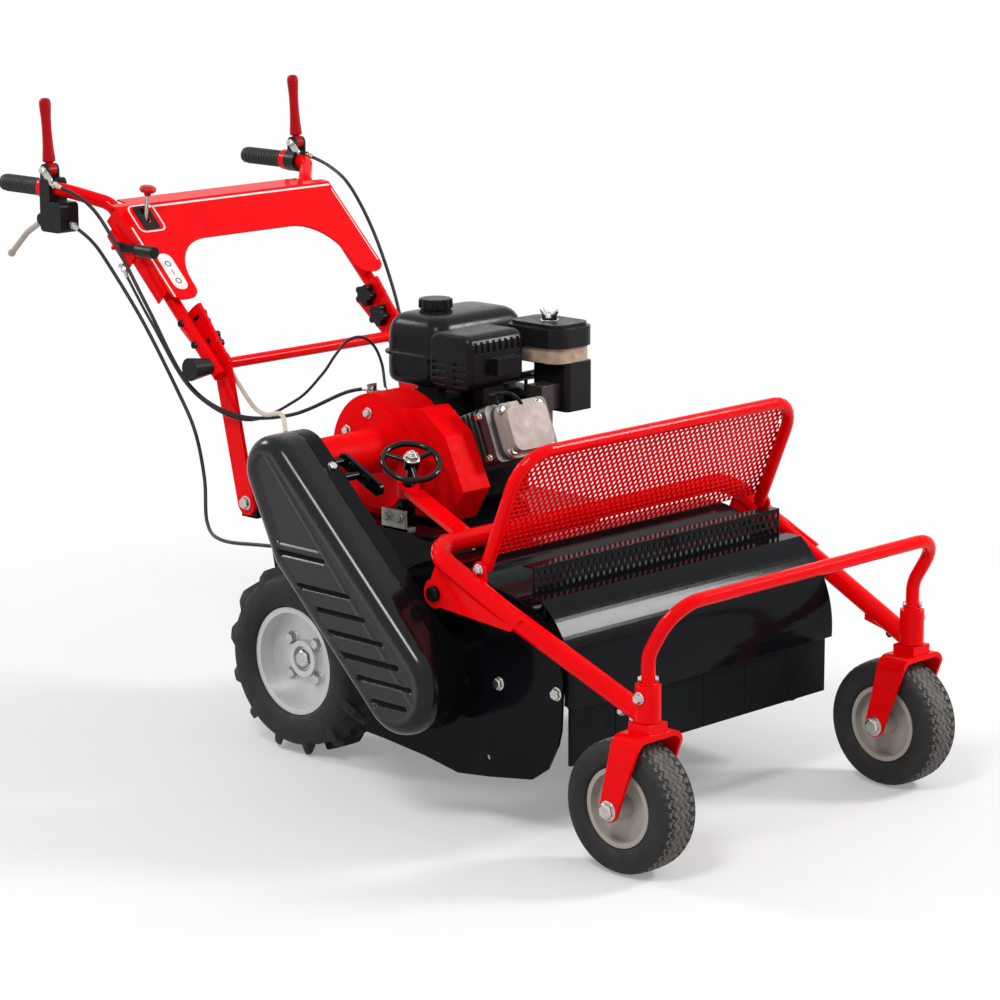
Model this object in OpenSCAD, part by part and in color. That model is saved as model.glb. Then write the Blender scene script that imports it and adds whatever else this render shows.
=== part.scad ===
// Walk-behind flail mower: a flail deck in front of two driven wheels, carried
// at the front by a height-adjustable caster frame and steered by a tilting
// handle. Forward is +X, the operator's left is +Y and up is +Z.

/* [Overall] */
// rear axle to the caster stems
stem_x = 914; // [820:1:1000]
// distance between the two caster stems
stem_track = 674; // [600:1:740]
// height of the engine bed
bed_z = 447; // [425:1:480]
// how far the grips reach behind the rear axle
grip_reach = 745; // [650:1:850]
// height of the grips
grip_z = 966; // [880:1:1040]

/* [Rear wheels] */
// diameter over the lugs
rear_wheel_d = 340; // [300:1:400]
// width of the tyre
rear_wheel_w = 118; // [90:1:140]
// distance between the two wheel centres
rear_track = 440; // [400:1:480]
// diameter of the rim seat
rear_rim_d = 182; // [150:1:210]
// lugs on each side of the tread
lug_count = 13; // [8:1:18]
// height of a lug
lug_h = 15; // [8:1:20]

/* [Casters] */
// diameter of the caster tyre
caster_wheel_d = 222; // [180:1:260]
// width of the caster tyre
caster_wheel_w = 84; // [60:1:100]
// diameter of the caster rim seat
caster_rim_d = 124; // [100:1:150]
// how far the wheel trails its stem
caster_trail = 35; // [20:1:60]

/* [Cutter deck] */
// rotor axis in front of the rear axle
rotor_x = 466; // [440:1:490]
// rotor axis above the ground
rotor_z = 250; // [235:1:265]
// width over the side plates
deck_w = 670; // [660:1:674]
// radius of the cutting chamber
chamber_r = 186; // [180:1:188]
// centre of the hood's curve
hood_x = 554; // [540:1:570]
// height of the hood's curve
hood_z = 255; // [245:1:265]
// outer radius of the hood
hood_r = 193; // [188:1:200]
// width of the hood
hood_w = 656; // [654:1:658]
// length of a hanging flap
flap_len = 103; // [80:1:120]

/* [Rotor] */
// diameter of the rotor tube
rotor_tube_d = 110; // [80:1:120]
// radius of the flail rods
rod_r = 82; // [76:1:90]
// reach of a flail from its rod
flail_len = 88; // [60:1:92]
// flails on each rod
flail_count = 7; // [4:1:9]

/* [Belt drive] */
// crankshaft in front of the rear axle
crank_x = 163; // [150:1:175]
// crankshaft above the ground
crank_z = 568; // [560:1:580]
// outer face of the belt guard, from the middle
guard_out = 470; // [450:1:490]
// depth of the outer guard cover
cover_depth = 66; // [55:1:75]
// depth of the guard's back tray
tray_depth = 32; // [20:1:36]
// radius of the guard round the upper pulley
guard_top_r = 60; // [52:1:66]
// radius of the guard round the lower pulley
guard_low_r = 84; // [76:1:92]
// radius of the upper pulley's groove
drive_pulley_r = 36; // [28:1:42]
// radius of the rotor pulley's groove
rotor_pulley_r = 56; // [45:1:62]

/* [Front frame] */
// outside diameter of the frame tube
frame_d = 34; // [28:1:38]
// rear corners of the frame, in front of the rear axle
frame_x = 464; // [450:1:480]
// height of the rear corners
frame_z = 470; // [465:1:485]
// distance between the side tubes at the rear corners
frame_w = 760; // [740:1:780]
// frame pivot in front of the rear axle
pivot_x = 476; // [470:1:484]
// frame pivot above the ground
pivot_z = 395; // [388:1:400]
// diameter of the bumper tube
bumper_d = 23; // [20:1:26]
// front of the bumper in front of the rear axle
bumper_x = 968; // [945:1:1000]
// height of the bumper bar
bumper_z = 451; // [420:1:480]

/* [Grass guard] */
// diameter of the grass guard tube
guard_tube_d = 22; // [18:1:24]
// foot of the grass guard
grass_x = 562; // [556:1:570]
// height of the foot
grass_z = 446; // [444:1:452]
// top bar in front of the rear axle
grass_top_x = 645; // [620:1:670]
// height of the top bar
grass_top_z = 645; // [600:1:690]
// distance between the guard's side tubes
grass_w = 688; // [680:1:692]

/* [Handle] */
// handle pivot behind the rear axle
handle_back = 230; // [215:1:245]
// height of the handle pivot
handle_z = 672; // [660:1:690]
// slope of the handle
handle_slope = 44.3; // [40:0.1:48]
// diameter of the handle tube
handle_d = 25.4; // [22:0.1:27]
// distance between the handle tubes
handle_w = 476; // [470:1:482]
// distance between the grips
grip_w = 600; // [580:1:620]
// diameter of a grip
grip_d = 33; // [31:1:36]
// length of a grip
grip_len = 119; // [100:1:125]
// distance of a lever tip from its pin
lever_len = 132; // [120:1:150]

/* [Hidden] */
$fn = 48;

// fits
cut = 1;
run_gap = 0.05;
slide_gap = 0.3;
free_gap = 2;

// sheet and plate
sheet = 3;
plate = 6;
plate_deck = 5;

// shades
red = [0.80, 0.02, 0.03];
dark_red = [0.55, 0.02, 0.04];
black = [0.04, 0.04, 0.05];
grey = [0.22, 0.21, 0.20];
silver = [0.72, 0.72, 0.72];
rubber = [0.08, 0.08, 0.08];
cast = [0.55, 0.54, 0.52];
orange = [0.95, 0.40, 0.05];

// derived places
stem_y = stem_track/2;
deck_y = deck_w/2;
deck_in = deck_y - plate_deck;
rear_r = rear_wheel_d/2;
rear_y = rear_track/2;
caster_r = caster_wheel_d/2;
tray_y = -guard_out + cover_depth;
tray_in = tray_y + tray_depth;
frame_y = frame_w/2;
handle_x = -handle_back;
handle_y = handle_w/2;
grip_y = grip_w/2;

// the box of the whole part sits on the origin
fork_gap = 7;
fork_t = 6;
axle_head = 7;
fork_out = caster_wheel_w/2 + fork_gap + fork_t + axle_head;
left_end = stem_y + fork_out;
front_end = max(stem_x - caster_trail + caster_r, bumper_x + bumper_d/2);
rib_proud = 3;
origin = [(front_end - grip_reach)/2, (left_end - guard_out - rib_proud)/2, 0];

function unit(v) = v/norm(v);
function arc(c, r, a0, a1, n) = [for (i = [0:n]) c + r*[cos(a0 + (a1 - a0)*i/n), sin(a0 + (a1 - a0)*i/n)]];
function round_rect(w, h, r, n) = concat(arc([w/2 - r, h/2 - r], r, 0, 90, n),
  arc([r - w/2, h/2 - r], r, 90, 180, n), arc([r - w/2, r - h/2], r, 180, 270, n),
  arc([w/2 - r, r - h/2], r, 270, 360, n));
function flip(l) = [for (i = [len(l) - 1:-1:0]) l[i]];
function shares_to(l, o, s) = [for (q = l) [o[0] + q[0]*s[0], o[1] + q[1]*s[1]]];
// outline of a belt that runs round two circles
function belt_line(c1, r1, c2, r2, n) = let (v = c2 - c1, a = atan2(v[1], v[0]),
    b = acos((r1 - r2)/norm(v)))
  concat(arc(c1, r1, a + b, a + 360 - b, n), arc(c2, r2, a - b, a + b, n));
// a point on the handle: along its slope, across, and off its face
function on_handle(u, y, w) = [handle_x - u*cos(handle_slope) + w*sin(handle_slope), y,
  handle_z + u*sin(handle_slope) + w*cos(handle_slope)];

module place() translate(-origin) children();
module both() {
  children();
  mirror([0, 1, 0]) children();
}
module side_of(s) if (s > 0) children(); else mirror([0, 1, 0]) children();
module xz(y0, y1) translate([0, y1, 0]) rotate([90, 0, 0]) linear_extrude(y1 - y0) children();
module yz(x0, x1) translate([x0, 0, 0]) rotate([90, 0, 90]) linear_extrude(x1 - x0) children();
module xy(z0, z1) translate([0, 0, z0]) linear_extrude(z1 - z0) children();
module block(lo, hi) translate(lo) cube(hi - lo);
module ycyl(x, z, d, y0, y1) translate([x, y0, z]) rotate([-90, 0, 0]) cylinder(d = d, h = y1 - y0);
module zcyl(x, y, d, z0, z1) translate([x, y, z0]) cylinder(d = d, h = z1 - z0);
module xcyl(y, z, d, x0, x1) translate([x0, y, z]) rotate([0, 90, 0]) cylinder(d = d, h = x1 - x0);
module aim(v) rotate([0, acos(v[2]/norm(v)), atan2(v[1], v[0])]) children();
module rod(a, b, d) translate(a) aim(b - a) cylinder(d = d, h = norm(b - a));
module handle_frame() multmatrix([[-cos(handle_slope), 0, sin(handle_slope), handle_x],
  [0, -1, 0, 0], [sin(handle_slope), 0, cos(handle_slope), handle_z]]) children();

// a skin over rings of points, closed at both ends
module loft(rings) {
  n = len(rings[0]);
  m = len(rings);
  polyhedron(points = [for (r = rings) each r], faces = concat([[for (i = [0:n - 1]) i]],
    [for (k = [0:m - 2], i = [0:n - 1]) each [[k*n + i, (k + 1)*n + i, k*n + (i + 1)%n],
      [k*n + (i + 1)%n, (k + 1)*n + i, (k + 1)*n + (i + 1)%n]]],
    [[for (i = [n - 1:-1:0]) (m - 1)*n + i]]));
}

// turns a first side vector along a line of tangents without twist
function carry(t, i, a) = i == len(t) ? [] : let (b = unit(a - t[i]*(a*t[i])))
    concat([b], carry(t, i + 1, b));
first_side_share = [0.32, 0.47, -0.82];
function tangents(q) = let (m = len(q) - 1) [for (i = [0:m]) unit(q[min(i + 1, m)] - q[max(i - 1, 0)])];
module sweep(q, t, d, n) {
  a = carry(t, 0, unit(cross(t[0], first_side_share)));
  loft([for (i = [0:len(q) - 1]) let (b = cross(t[i], a[i]))
    [for (j = [0:n - 1]) q[i] + d/2*(a[i]*cos(360*j/n) + b*sin(360*j/n))]]);
}

// a tube along a line of points, bent to one radius at each inner point
tube_sides = 20;
bend_steps = 7;
function bend_at(p, i, rb) = let (u = unit(p[i] - p[i - 1]), v = unit(p[i + 1] - p[i]), w = acos(u*v),
  t = rb*tan(w/2), m = unit(v - u*(u*v)), c = p[i] - u*t + m*rb)
  [for (k = [0:bend_steps]) let (f = w*k/bend_steps) [c + rb*(u*sin(f) - m*cos(f)), u*cos(f) + m*sin(f)]];
module bent_tube(p, rb, d) {
  n = len(p) - 1;
  q = concat([[p[0], unit(p[1] - p[0])]], [for (i = [1:n - 1]) each bend_at(p, i, rb)],
      [[p[n], unit(p[n] - p[n - 1])]]);
  sweep([for (e = q) e[0]], [for (e = q) e[1]], d, tube_sides);
}

// a cable swept along a smooth line through its points
cable_sides = 8;
cable_steps = 4;
function curve_at(p, i, f) = let (a = p[max(i - 1, 0)], b = p[i], c = p[i + 1],
    d = p[min(i + 2, len(p) - 1)])
  0.5*(2*b + (c - a)*f + (2*a - 5*b + 4*c - d)*f*f + (3*b - a - 3*c + d)*f*f*f);
module cable(p, d) {
  q = concat([for (i = [0:len(p) - 2], j = [0:cable_steps - 1]) curve_at(p, i, j/cable_steps)],
      [p[len(p) - 1]]);
  sweep(q, tangents(q), d, cable_sides);
}

// WHEELS
// half outlines of the tyre section: share of the width, share of the height
tyre_out_shares = [[0.34, 0], [0.34, 0.12], [0.43, 0.16], [0.485, 0.36], [0.5, 0.55], [0.485, 0.76],
  [0.45, 0.9], [0.38, 0.97], [0.2, 1]];
tyre_in_shares = [[0.27, 0], [0.33, 0.2], [0.41, 0.4], [0.43, 0.55], [0.41, 0.72], [0.34, 0.8],
    [0.2, 0.82]];
caster_out_shares = [[0.34, 0], [0.34, 0.1], [0.42, 0.14], [0.48, 0.34], [0.5, 0.55], [0.47, 0.78],
    [0.4, 0.91],
  [0.3, 0.97], [0.26, 0.91], [0.22, 0.98], [0.12, 1], [0.09, 0.94], [0.05, 1]];
caster_in_shares = [[0.27, 0], [0.34, 0.2], [0.4, 0.42], [0.41, 0.56], [0.37, 0.74], [0.26, 0.82]];
function half_line(l, r0, r1, w) = [for (q = l) [r0 + q[1]*(r1 - r0), q[0]*w]];
function other_half(l) = [for (q = flip(l)) [q[0], -q[1]]];
function tyre_line(o, i, r0, r1, w) = let (a = half_line(o, r0, r1, w), b = half_line(i, r0, r1, w))
  concat(a, other_half(a), flip(other_half(b)), flip(b));
lug_w = 17;
lug_sweep = 40;
lug_sink = 10;
lug_in_share = 0.03;
lug_out_share = 0.44;
lug_half_w = (lug_w + lug_sweep)/2;
lug_top = sqrt(rear_r*rear_r - lug_half_w*lug_half_w);
lug_foot = rear_r - lug_h - lug_sink;
module rear_tyre(s) color(rubber) translate([0, s*rear_y, rear_r]) rotate([90, 0, 0]) {
  rotate_extrude() polygon(tyre_line(tyre_out_shares, tyre_in_shares, rear_rim_d/2, rear_r - lug_h,
      rear_wheel_w));
  for (i = [0:lug_count - 1], k = [0, 1]) rotate([0, 0, (i + k/2)*360/lug_count]) mirror([0, 0, k])
    translate([lug_foot, 0, 0]) rotate([90, 0, 90]) linear_extrude(lug_top - lug_foot)
      polygon([[-lug_half_w, lug_in_share*rear_wheel_w], [lug_w - lug_half_w, lug_in_share*rear_wheel_w],
        [lug_half_w, lug_out_share*rear_wheel_w], [lug_half_w - lug_w, lug_out_share*rear_wheel_w]]);
}

rim_t = 4;
rim_lip = 6.5;
rim_lip_w = 5;
rim_seat_share = 0.34;
rim_web = 6;
web_at_share = 0.06;
hub_d = 66;
hub_in_share = 0.3;
hub_out_share = 0.2;
axle_d = 25;
hub_bolt_r = 46;
hub_bolt_count = 4;
hub_bolt_d = 17;
hub_bolt_h = 9;
hub_recess = 8;
hub_recess_d = 46;
function rim_line(r, w, lip, t, lw) = let (a = rim_seat_share*w) [[r, a], [r + lip, a], [r + lip, a + lw],
  [r - t, a + lw], [r - t, -a - lw], [r + lip, -a - lw], [r + lip, -a], [r, -a]];

module rear_rim(s) color(silver) translate([0, s*rear_y, rear_r]) rotate([s > 0 ? -90 : 90, 0, 0])
    difference() {
  union() {
    rotate_extrude() polygon(rim_line(rear_rim_d/2, rear_wheel_w, rim_lip, rim_t, rim_lip_w));
    translate([0, 0, web_at_share*rear_wheel_w]) cylinder(d = rear_rim_d - rim_t, h = rim_web);
    translate([0, 0, -hub_in_share*rear_wheel_w]) cylinder(d = hub_d,
        h = (hub_in_share + hub_out_share)*rear_wheel_w);
    for (i = [0:hub_bolt_count - 1]) rotate([0, 0, (i + 0.5)*360/hub_bolt_count])
      translate([hub_bolt_r, 0, web_at_share*rear_wheel_w])
          cylinder(d = hub_bolt_d, h = rim_web + hub_bolt_h, $fn = 6);
  }
  translate([0, 0, -rear_wheel_w/2]) cylinder(d = axle_d + 2*run_gap, h = rear_wheel_w);
  translate([0, 0, hub_out_share*rear_wheel_w - hub_recess])
      cylinder(d = hub_recess_d, h = hub_recess + cut);
}

caster_at = stem_x - caster_trail;
caster_lip = 4;
caster_lip_w = 4;
caster_web = 5;
caster_web_share = 0.16;
caster_hub_d = 40;
caster_axle_d = 16;
caster_hub_gap = 1;

module caster_tyre(s) color(rubber) translate([caster_at, s*stem_y, caster_r]) rotate([90, 0, 0])
  rotate_extrude() polygon(tyre_line(caster_out_shares, caster_in_shares, caster_rim_d/2, caster_r,
      caster_wheel_w));

module caster_rim(s) color(cast) translate([caster_at, s*stem_y, caster_r]) rotate([90, 0, 0]) difference()
    {
  union() {
    rotate_extrude() polygon(rim_line(caster_rim_d/2, caster_wheel_w, caster_lip, rim_t, caster_lip_w));
    for (k = [-1, 1]) translate([0, 0, k*caster_web_share*caster_wheel_w])
        cylinder(d = caster_rim_d - rim_t, h = caster_web, center = true);
    cylinder(d = caster_hub_d, h = caster_wheel_w + 2*fork_gap - 2*caster_hub_gap, center = true);
  }
  cylinder(d = caster_axle_d + 2*run_gap, h = caster_wheel_w + 2*fork_gap, center = true);
}

// FRONT FRAME AND CASTERS
crown_gap = 7;
crown_t = 9;
crown_block = 16;
crown_block_w = 44;
crown_front = 26;
crown_back = 30;
leg_foot_r = 19;
// rounding of the fork's shoulders outside and inside
shoulder_r = 22;
shoulder_in_r = 16;
stem_d = 42;
stem_h = 60;
stem_gap = 1;
stem_pin_d = 25;
stem_pin_h = 30;
stem_bore_d = 25.1;
axle_nut_d = 24;
crown_z = caster_wheel_d + crown_gap;
stem_z = crown_z + crown_t + crown_block + stem_gap;
fork_in = caster_wheel_w/2 + fork_gap;
// upright arch: half width, foot, top and corner radius
function arch_line(w, z0, z1, r) = concat([[-w, z0], [w, z0]], arc([w - r, z1 - r], r, 0, 90, 6),
    arc([r - w, z1 - r], r, 90, 180, 6));
// room the turning crown block needs under the frame tube
swivel_r = crown_block_w*sqrt(2)/2 + free_gap;

module caster_fork(s) color(red) translate([stem_x, s*stem_y, 0]) {
  intersection() {
    yz(-caster_r, caster_r) difference() {
      polygon(arch_line(fork_in + fork_t, caster_r - 2*leg_foot_r, crown_z + crown_t, shoulder_r));
      polygon(arch_line(fork_in, caster_r - 2*leg_foot_r - cut, crown_z, shoulder_in_r));
    }
    xz(-fork_out, fork_out) polygon(concat([[crown_front, crown_z - crown_t],
        [crown_front, crown_z + 2*crown_t],
      [-crown_back, crown_z + 2*crown_t], [-crown_back, crown_z - crown_t]],
          arc([-caster_trail, caster_r], leg_foot_r, 170, 350, 16)));
  }
  translate([0, 0, crown_z + crown_t + crown_block/2])
      cube([crown_block_w, crown_block_w, crown_block], center = true);
  zcyl(0, 0, stem_pin_d, crown_z, stem_z + stem_pin_h);
  ycyl(-caster_trail, caster_r, caster_axle_d, -fork_in - fork_t, fork_in + fork_t);
  for (k = [-1, 1]) translate([-caster_trail, k*(fork_in + fork_t + axle_head/2), caster_r])
      rotate([90, 0, 0])
    cylinder(d = axle_nut_d, h = axle_head, center = true, $fn = 6);
}

// side tube: rear corner, knee and foot at the stem
knee_share = 0.36;
foot_back = 10;
foot_up = 9;
knee_drop = 7;
frame_bend = 46;
frame_foot = [stem_x - foot_back, stem_y, stem_z + foot_up];
frame_corner = [frame_x, frame_y, frame_z];
frame_knee = frame_corner + knee_share*(frame_foot - frame_corner) - [0, 0, knee_drop];
lobe_r = 25;
pivot_d = 14;
pivot_head_d = 26;
pivot_head_h = 8;
pivot_plate_in = 372;
wing_share = 0.42;
wing_rise = 6;
boss_gap = 0.5;
boss_d = 40;
tab_r = 14;
tab_t = 5;
gusset_share = 0.68;
gusset_t = 8;
gusset_drop = 24;
wing_tip = frame_corner + wing_share*(frame_foot - frame_corner);
gusset_at = frame_knee + gusset_share*(frame_foot - frame_knee);
// middle of the guard tab and of the frame tube beside it
tab_y = grass_w/2 + guard_tube_d/2 + run_gap + tab_t/2;
tube_y = frame_corner[1] + (grass_x - frame_x)/(frame_foot[0] - frame_x)*(frame_foot[1] - frame_corner[1]);

// height spindle: handwheel centre, lean and the way it leans
wheel_at = [291, -250, 571];
wheel_lean = 29;
wheel_turn = -31;
nut_down = 58;
nut_d = 40;
nut_h = 20;
nut_bore = 23;
spindle_d = 12;
spindle_len = 112;
arm_w = 34;
arm_t = 9;
arm_y = 300;
spin_dir = [sin(wheel_lean)*cos(wheel_turn), sin(wheel_lean)*sin(wheel_turn), cos(wheel_lean)];
nut_at = wheel_at - nut_down*spin_dir;
arm_root = [frame_x, -arm_y, frame_z + frame_d/2 - arm_t/2];
arm_stop_share = 0.9;

module front_frame() color(red) difference() {
  union() {
    bent_tube([[frame_foot[0], -frame_foot[1], frame_foot[2]],
        [frame_knee[0], -frame_knee[1], frame_knee[2]],
      [frame_corner[0], -frame_corner[1], frame_corner[2]], frame_corner, frame_knee, frame_foot],
          frame_bend, frame_d);
    both() {
      zcyl(stem_x, stem_y, stem_d, stem_z, stem_z + stem_h);
      xz(pivot_plate_in, pivot_plate_in + plate) polygon(concat(arc([pivot_x, pivot_z], lobe_r, 110, 300,
          20),
        [[wing_tip[0], wing_tip[2] - frame_d/2 - wing_rise], [wing_tip[0] + lobe_r, wing_tip[2]],
        [frame_corner[0] + lobe_r, frame_corner[2]]]));
      xz(grass_w/2 + guard_tube_d/2 + run_gap, grass_w/2 + guard_tube_d/2 + run_gap + tab_t)
        polygon(concat(arc([grass_x, grass_z], tab_r, 0, 180, 12),
            [[grass_x - tab_r, grass_z - 2*tab_r], [grass_x + tab_r, grass_z - 2*tab_r]]));
      ycyl(grass_x, grass_z - tab_r, 2*tab_t, min(tab_y, tube_y), max(tab_y, tube_y));
      xz(stem_y - gusset_t/2, stem_y + gusset_t/2) polygon([[stem_x, stem_z], [stem_x, stem_z + foot_up],
        [gusset_at[0], gusset_at[2]], [gusset_at[0], gusset_at[2] - gusset_drop]]);
    }
    translate(arm_root) aim(nut_at - arm_root) translate([-arm_t/2, -arm_w/2, 0])
        cube([arm_t, arm_w, norm(nut_at - arm_root)*arm_stop_share]);
    translate(nut_at - spin_dir*nut_h/2) aim(spin_dir) cylinder(d = nut_d, h = nut_h);
  }
  both() {
    zcyl(stem_x, stem_y, stem_bore_d, stem_z - cut, post_end - free_gap/2);
    zcyl(stem_x, stem_y, 2*swivel_r, stem_z - frame_d, stem_z);
    zcyl(stem_x, stem_y, bumper_d + 2*run_gap, stem_z, stem_z + stem_h + cut);
    ycyl(pivot_x, pivot_z, pivot_d + 2*run_gap, pivot_plate_in - cut, pivot_plate_in + plate + cut);
  }
  translate(nut_at - spin_dir*nut_h) aim(spin_dir) cylinder(d = nut_bore, h = 2*nut_h);
}

post_z = 362;
bumper_bend = 58;
post_end = stem_z + stem_pin_h + free_gap;
module bumper_bar() color(red) bent_tube([[stem_x, -stem_y, post_end], [stem_x, -stem_y, post_z],
    [bumper_x, -stem_y, bumper_z],
  [bumper_x, stem_y, bumper_z], [stem_x, stem_y, post_z], [stem_x, stem_y, post_end]], bumper_bend,
      bumper_d);

grass_bend = 62;
module grass_guard_frame() color(red) bent_tube([[grass_x, -grass_w/2, grass_z],
    [grass_top_x, -grass_w/2, grass_top_z],
  [grass_top_x, grass_w/2, grass_top_z], [grass_x, grass_w/2, grass_z]], grass_bend, guard_tube_d);

// perforated sheet behind the grass guard tube
grass_v = [grass_top_x - grass_x, 0, grass_top_z - grass_z];
grass_len = norm(grass_v);
mesh_t = 2;
mesh_foot = 14;
mesh_cols = 26;
mesh_rows = 9;
mesh_hole_share = 0.62;
mesh_top_r = 62;
mesh_edge = 12;
mesh_pitch = (grass_w - 2*mesh_edge)/mesh_cols;
mesh_row = (grass_len - mesh_foot - mesh_edge)/mesh_rows;
module grass_guard_mesh() color(red) translate([grass_x, 0, grass_z])
    rotate([0, atan2(grass_v[0], grass_v[2]), 0])
  translate([-guard_tube_d/2 - run_gap - mesh_t, 0, 0]) yz(0, mesh_t) difference() {
    polygon(concat(arc([grass_w/2 - mesh_top_r, grass_len - mesh_top_r], mesh_top_r, 0, 90, 12),
      arc([mesh_top_r - grass_w/2, grass_len - mesh_top_r], mesh_top_r, 90, 180, 12),
      [[-grass_w/2, mesh_foot], [grass_w/2, mesh_foot]]));
    for (i = [0:mesh_cols - 1], j = [0:mesh_rows - 1])
      if (j < mesh_rows - 2 || (i > 1 && i < mesh_cols - 2))
        translate([(i + 0.5)*mesh_pitch - grass_w/2 + mesh_edge, (j + 0.5)*mesh_row + mesh_foot])
          circle(d = mesh_hole_share*min(mesh_pitch, mesh_row), $fn = 16);
  }

// DECK
// side plate outline: shares of its length and height from the rear foot
skirt_x = 262;
skirt_len = 465;
skirt_z = 80;
skirt_h = 340;
skirt_shares = [[0, 0.08], [0.1, 0.07], [0.31, 0.04], [0.48, 0], [0.64, 0.025], [0.85, 0.07], [0.925, 0.14],
  [0.975, 0.27], [0.99, 0.35], [1, 0.6], [0.97, 0.77], [0.9, 0.88], [0.84, 0.93], [0.7, 0.975], [0.45, 1],
      [0.2, 0.93], [0.06, 0.72], [0, 0.45]];
skid_hole_d = 10.5;
skid_x = 556;
skid_z = 121;
bearing_hole_d = 70;
module deck_side_plates() color(black) both() difference() {
  union() {
    xz(deck_in, deck_y) polygon(shares_to(skirt_shares, [skirt_x, skirt_z], [skirt_len, skirt_h]));
    ycyl(pivot_x, pivot_z, boss_d, deck_y - plate_deck/2, pivot_plate_in - boss_gap);
  }
  ycyl(skid_x, skid_z, skid_hole_d, deck_in - cut, deck_y + cut);
  ycyl(rotor_x, rotor_z, bearing_hole_d, deck_in - cut, deck_y + cut);
  ycyl(pivot_x, pivot_z, pivot_d, deck_y - cut, pivot_plate_in);
}

shell_t = 4;
shell_front = 58;
shell_rear = 205;
roof_x = 664;
roof_bend = 620;
rotor_at = [rotor_x, rotor_z];
module deck_body() color(black) {
  xz(-deck_in, deck_in) polygon(concat(arc(rotor_at, chamber_r + shell_t, shell_front, shell_rear, 40),
    arc(rotor_at, chamber_r, shell_rear, shell_front, 40),
    [[roof_bend, roof_z - shell_t], [roof_x, roof_z - shell_t], [roof_x, roof_z], [roof_bend, roof_z]]));
}

hood_low = -5;
hood_top = 52;
hood_at = [hood_x, hood_z];
hood_flange = 34;
hood_web = 23;
hood_web_t = 3;
hood_web_top = 42;
hood_edge = hood_at + hood_r*[cos(hood_top), sin(hood_top)];
roof_z = hood_edge[1] - sheet - run_gap;
flap_rod_r = 178;
flap_rod_d = 8;
flap_rod_low = -4;
flap_at = hood_at + flap_rod_r*[cos(flap_rod_low), sin(flap_rod_low)];
module front_hood() color(black) {
  xz(-hood_w/2, hood_w/2) polygon(concat(arc(hood_at, hood_r, hood_low, hood_top, 30),
    [[hood_edge[0] - hood_flange, hood_edge[1]], [hood_edge[0] - hood_flange, hood_edge[1] - sheet]],
    arc(hood_at, hood_r - sheet, hood_top, hood_low, 30)));
  both() xz(hood_w/2 - hood_web_t, hood_w/2) polygon(concat(arc(hood_at, hood_r - sheet/2, hood_low,
      hood_web_top, 30),
    arc(hood_at, hood_r - hood_web, hood_web_top, hood_low, 30)));
  ycyl(flap_at[0], flap_at[1], flap_rod_d, -hood_w/2 + hood_web_t/2, hood_w/2 - hood_web_t/2);
}

// upright perforated screen behind the hood
screen_x = hood_edge[0] - hood_flange - 4*run_gap - sheet;
screen_low = roof_z + run_gap;
screen_h = 50;
screen_w = 620;
screen_cols = 42;
screen_rows = 3;
screen_hole = 9;
screen_fold = 22;
screen_pitch = screen_w/screen_cols;
screen_row = screen_pitch*0.87;
module screen_plate() color(black) {
  yz(screen_x, screen_x + sheet) difference() {
    translate([-screen_w/2, screen_low]) square([screen_w, screen_h]);
    for (j = [0:screen_rows - 1], i = [0:screen_cols - 1 - j%2])
      translate([(i + 0.5 + (j%2)/2)*screen_pitch - screen_w/2,
          screen_low + screen_h/2 + (j - screen_rows/2 + 0.5)*screen_row])
        circle(d = screen_hole, $fn = 16);
  }
  block([screen_x - screen_fold, -screen_w/2, screen_low + screen_h - sheet],
      [screen_x, screen_w/2, screen_low + screen_h]);
}

flap_t = 6;
flap_gap = 2;
flap_span = 650;
flap_w = flap_span/6 - flap_gap;
eye_d = 15;
module flap(i) color(rubber) translate([flap_at[0], (i - 3.5)*flap_span/6, flap_at[1]]) difference() {
  union() {
    block([-flap_t/2, -flap_w/2, -flap_len], [flap_t/2, flap_w/2, 0]);
    ycyl(0, 0, eye_d, -flap_w/2, flap_w/2);
  }
  ycyl(0, 0, flap_rod_d + 2*run_gap, -flap_w/2 - cut, flap_w/2 + cut);
}

// ROTOR
shaft_d = 35;
shaft_left = 362;
flange_d = 104;
flange_t = 6;
bearing_d = 66;
bearing_h = 16;
drum_y = 302;
drum_end_t = 8;
lug_plate_t = 6;
lug_half = 15;
rod_d = 12;
flail_w = 34;
flail_eye_d = 26;
flail_t = 9;
flail_gap = 1.5;
flail_step = 2*drum_y/(flail_count + 0.5);
module rotor_bearings() color(cast) both() difference() {
  union() {
    ycyl(rotor_x, rotor_z, flange_d, deck_y, deck_y + flange_t);
    ycyl(rotor_x, rotor_z, bearing_d, deck_y, deck_y + bearing_h);
  }
  ycyl(rotor_x, rotor_z, shaft_d + 2*run_gap, deck_y - cut, deck_y + bearing_h + cut);
}
module rotor_place(k) translate([rotor_x, 0, rotor_z]) rotate([0, k*180, 0]) children();
function flail_y(i) = (i - (flail_count - 1)/2)*flail_step;
module rotor() color(black) difference() {
  union() {
    ycyl(rotor_x, rotor_z, shaft_d, tray_y - pulley_hub, shaft_left);
    ycyl(rotor_x, rotor_z, rotor_tube_d, -drum_y, drum_y);
    for (k = [0, 1], i = [0:flail_count - 1], e = [-1, 1]) rotor_place(k)
      translate([0, flail_y(i) + (k - 0.5)*flail_step/2 + e*(flail_w/2 + flail_gap + lug_plate_t/2), 0])
        xz(-lug_plate_t/2, lug_plate_t/2) polygon(concat(arc([0, -rod_r], lug_half, 180, 360, 12),
            [[lug_half, 0], [-lug_half, 0]]));
  }
  for (k = [0, 1]) rotor_place(k) ycyl(0, -rod_r, rod_d + 2*run_gap, -drum_y - cut, drum_y + cut);
}
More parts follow.
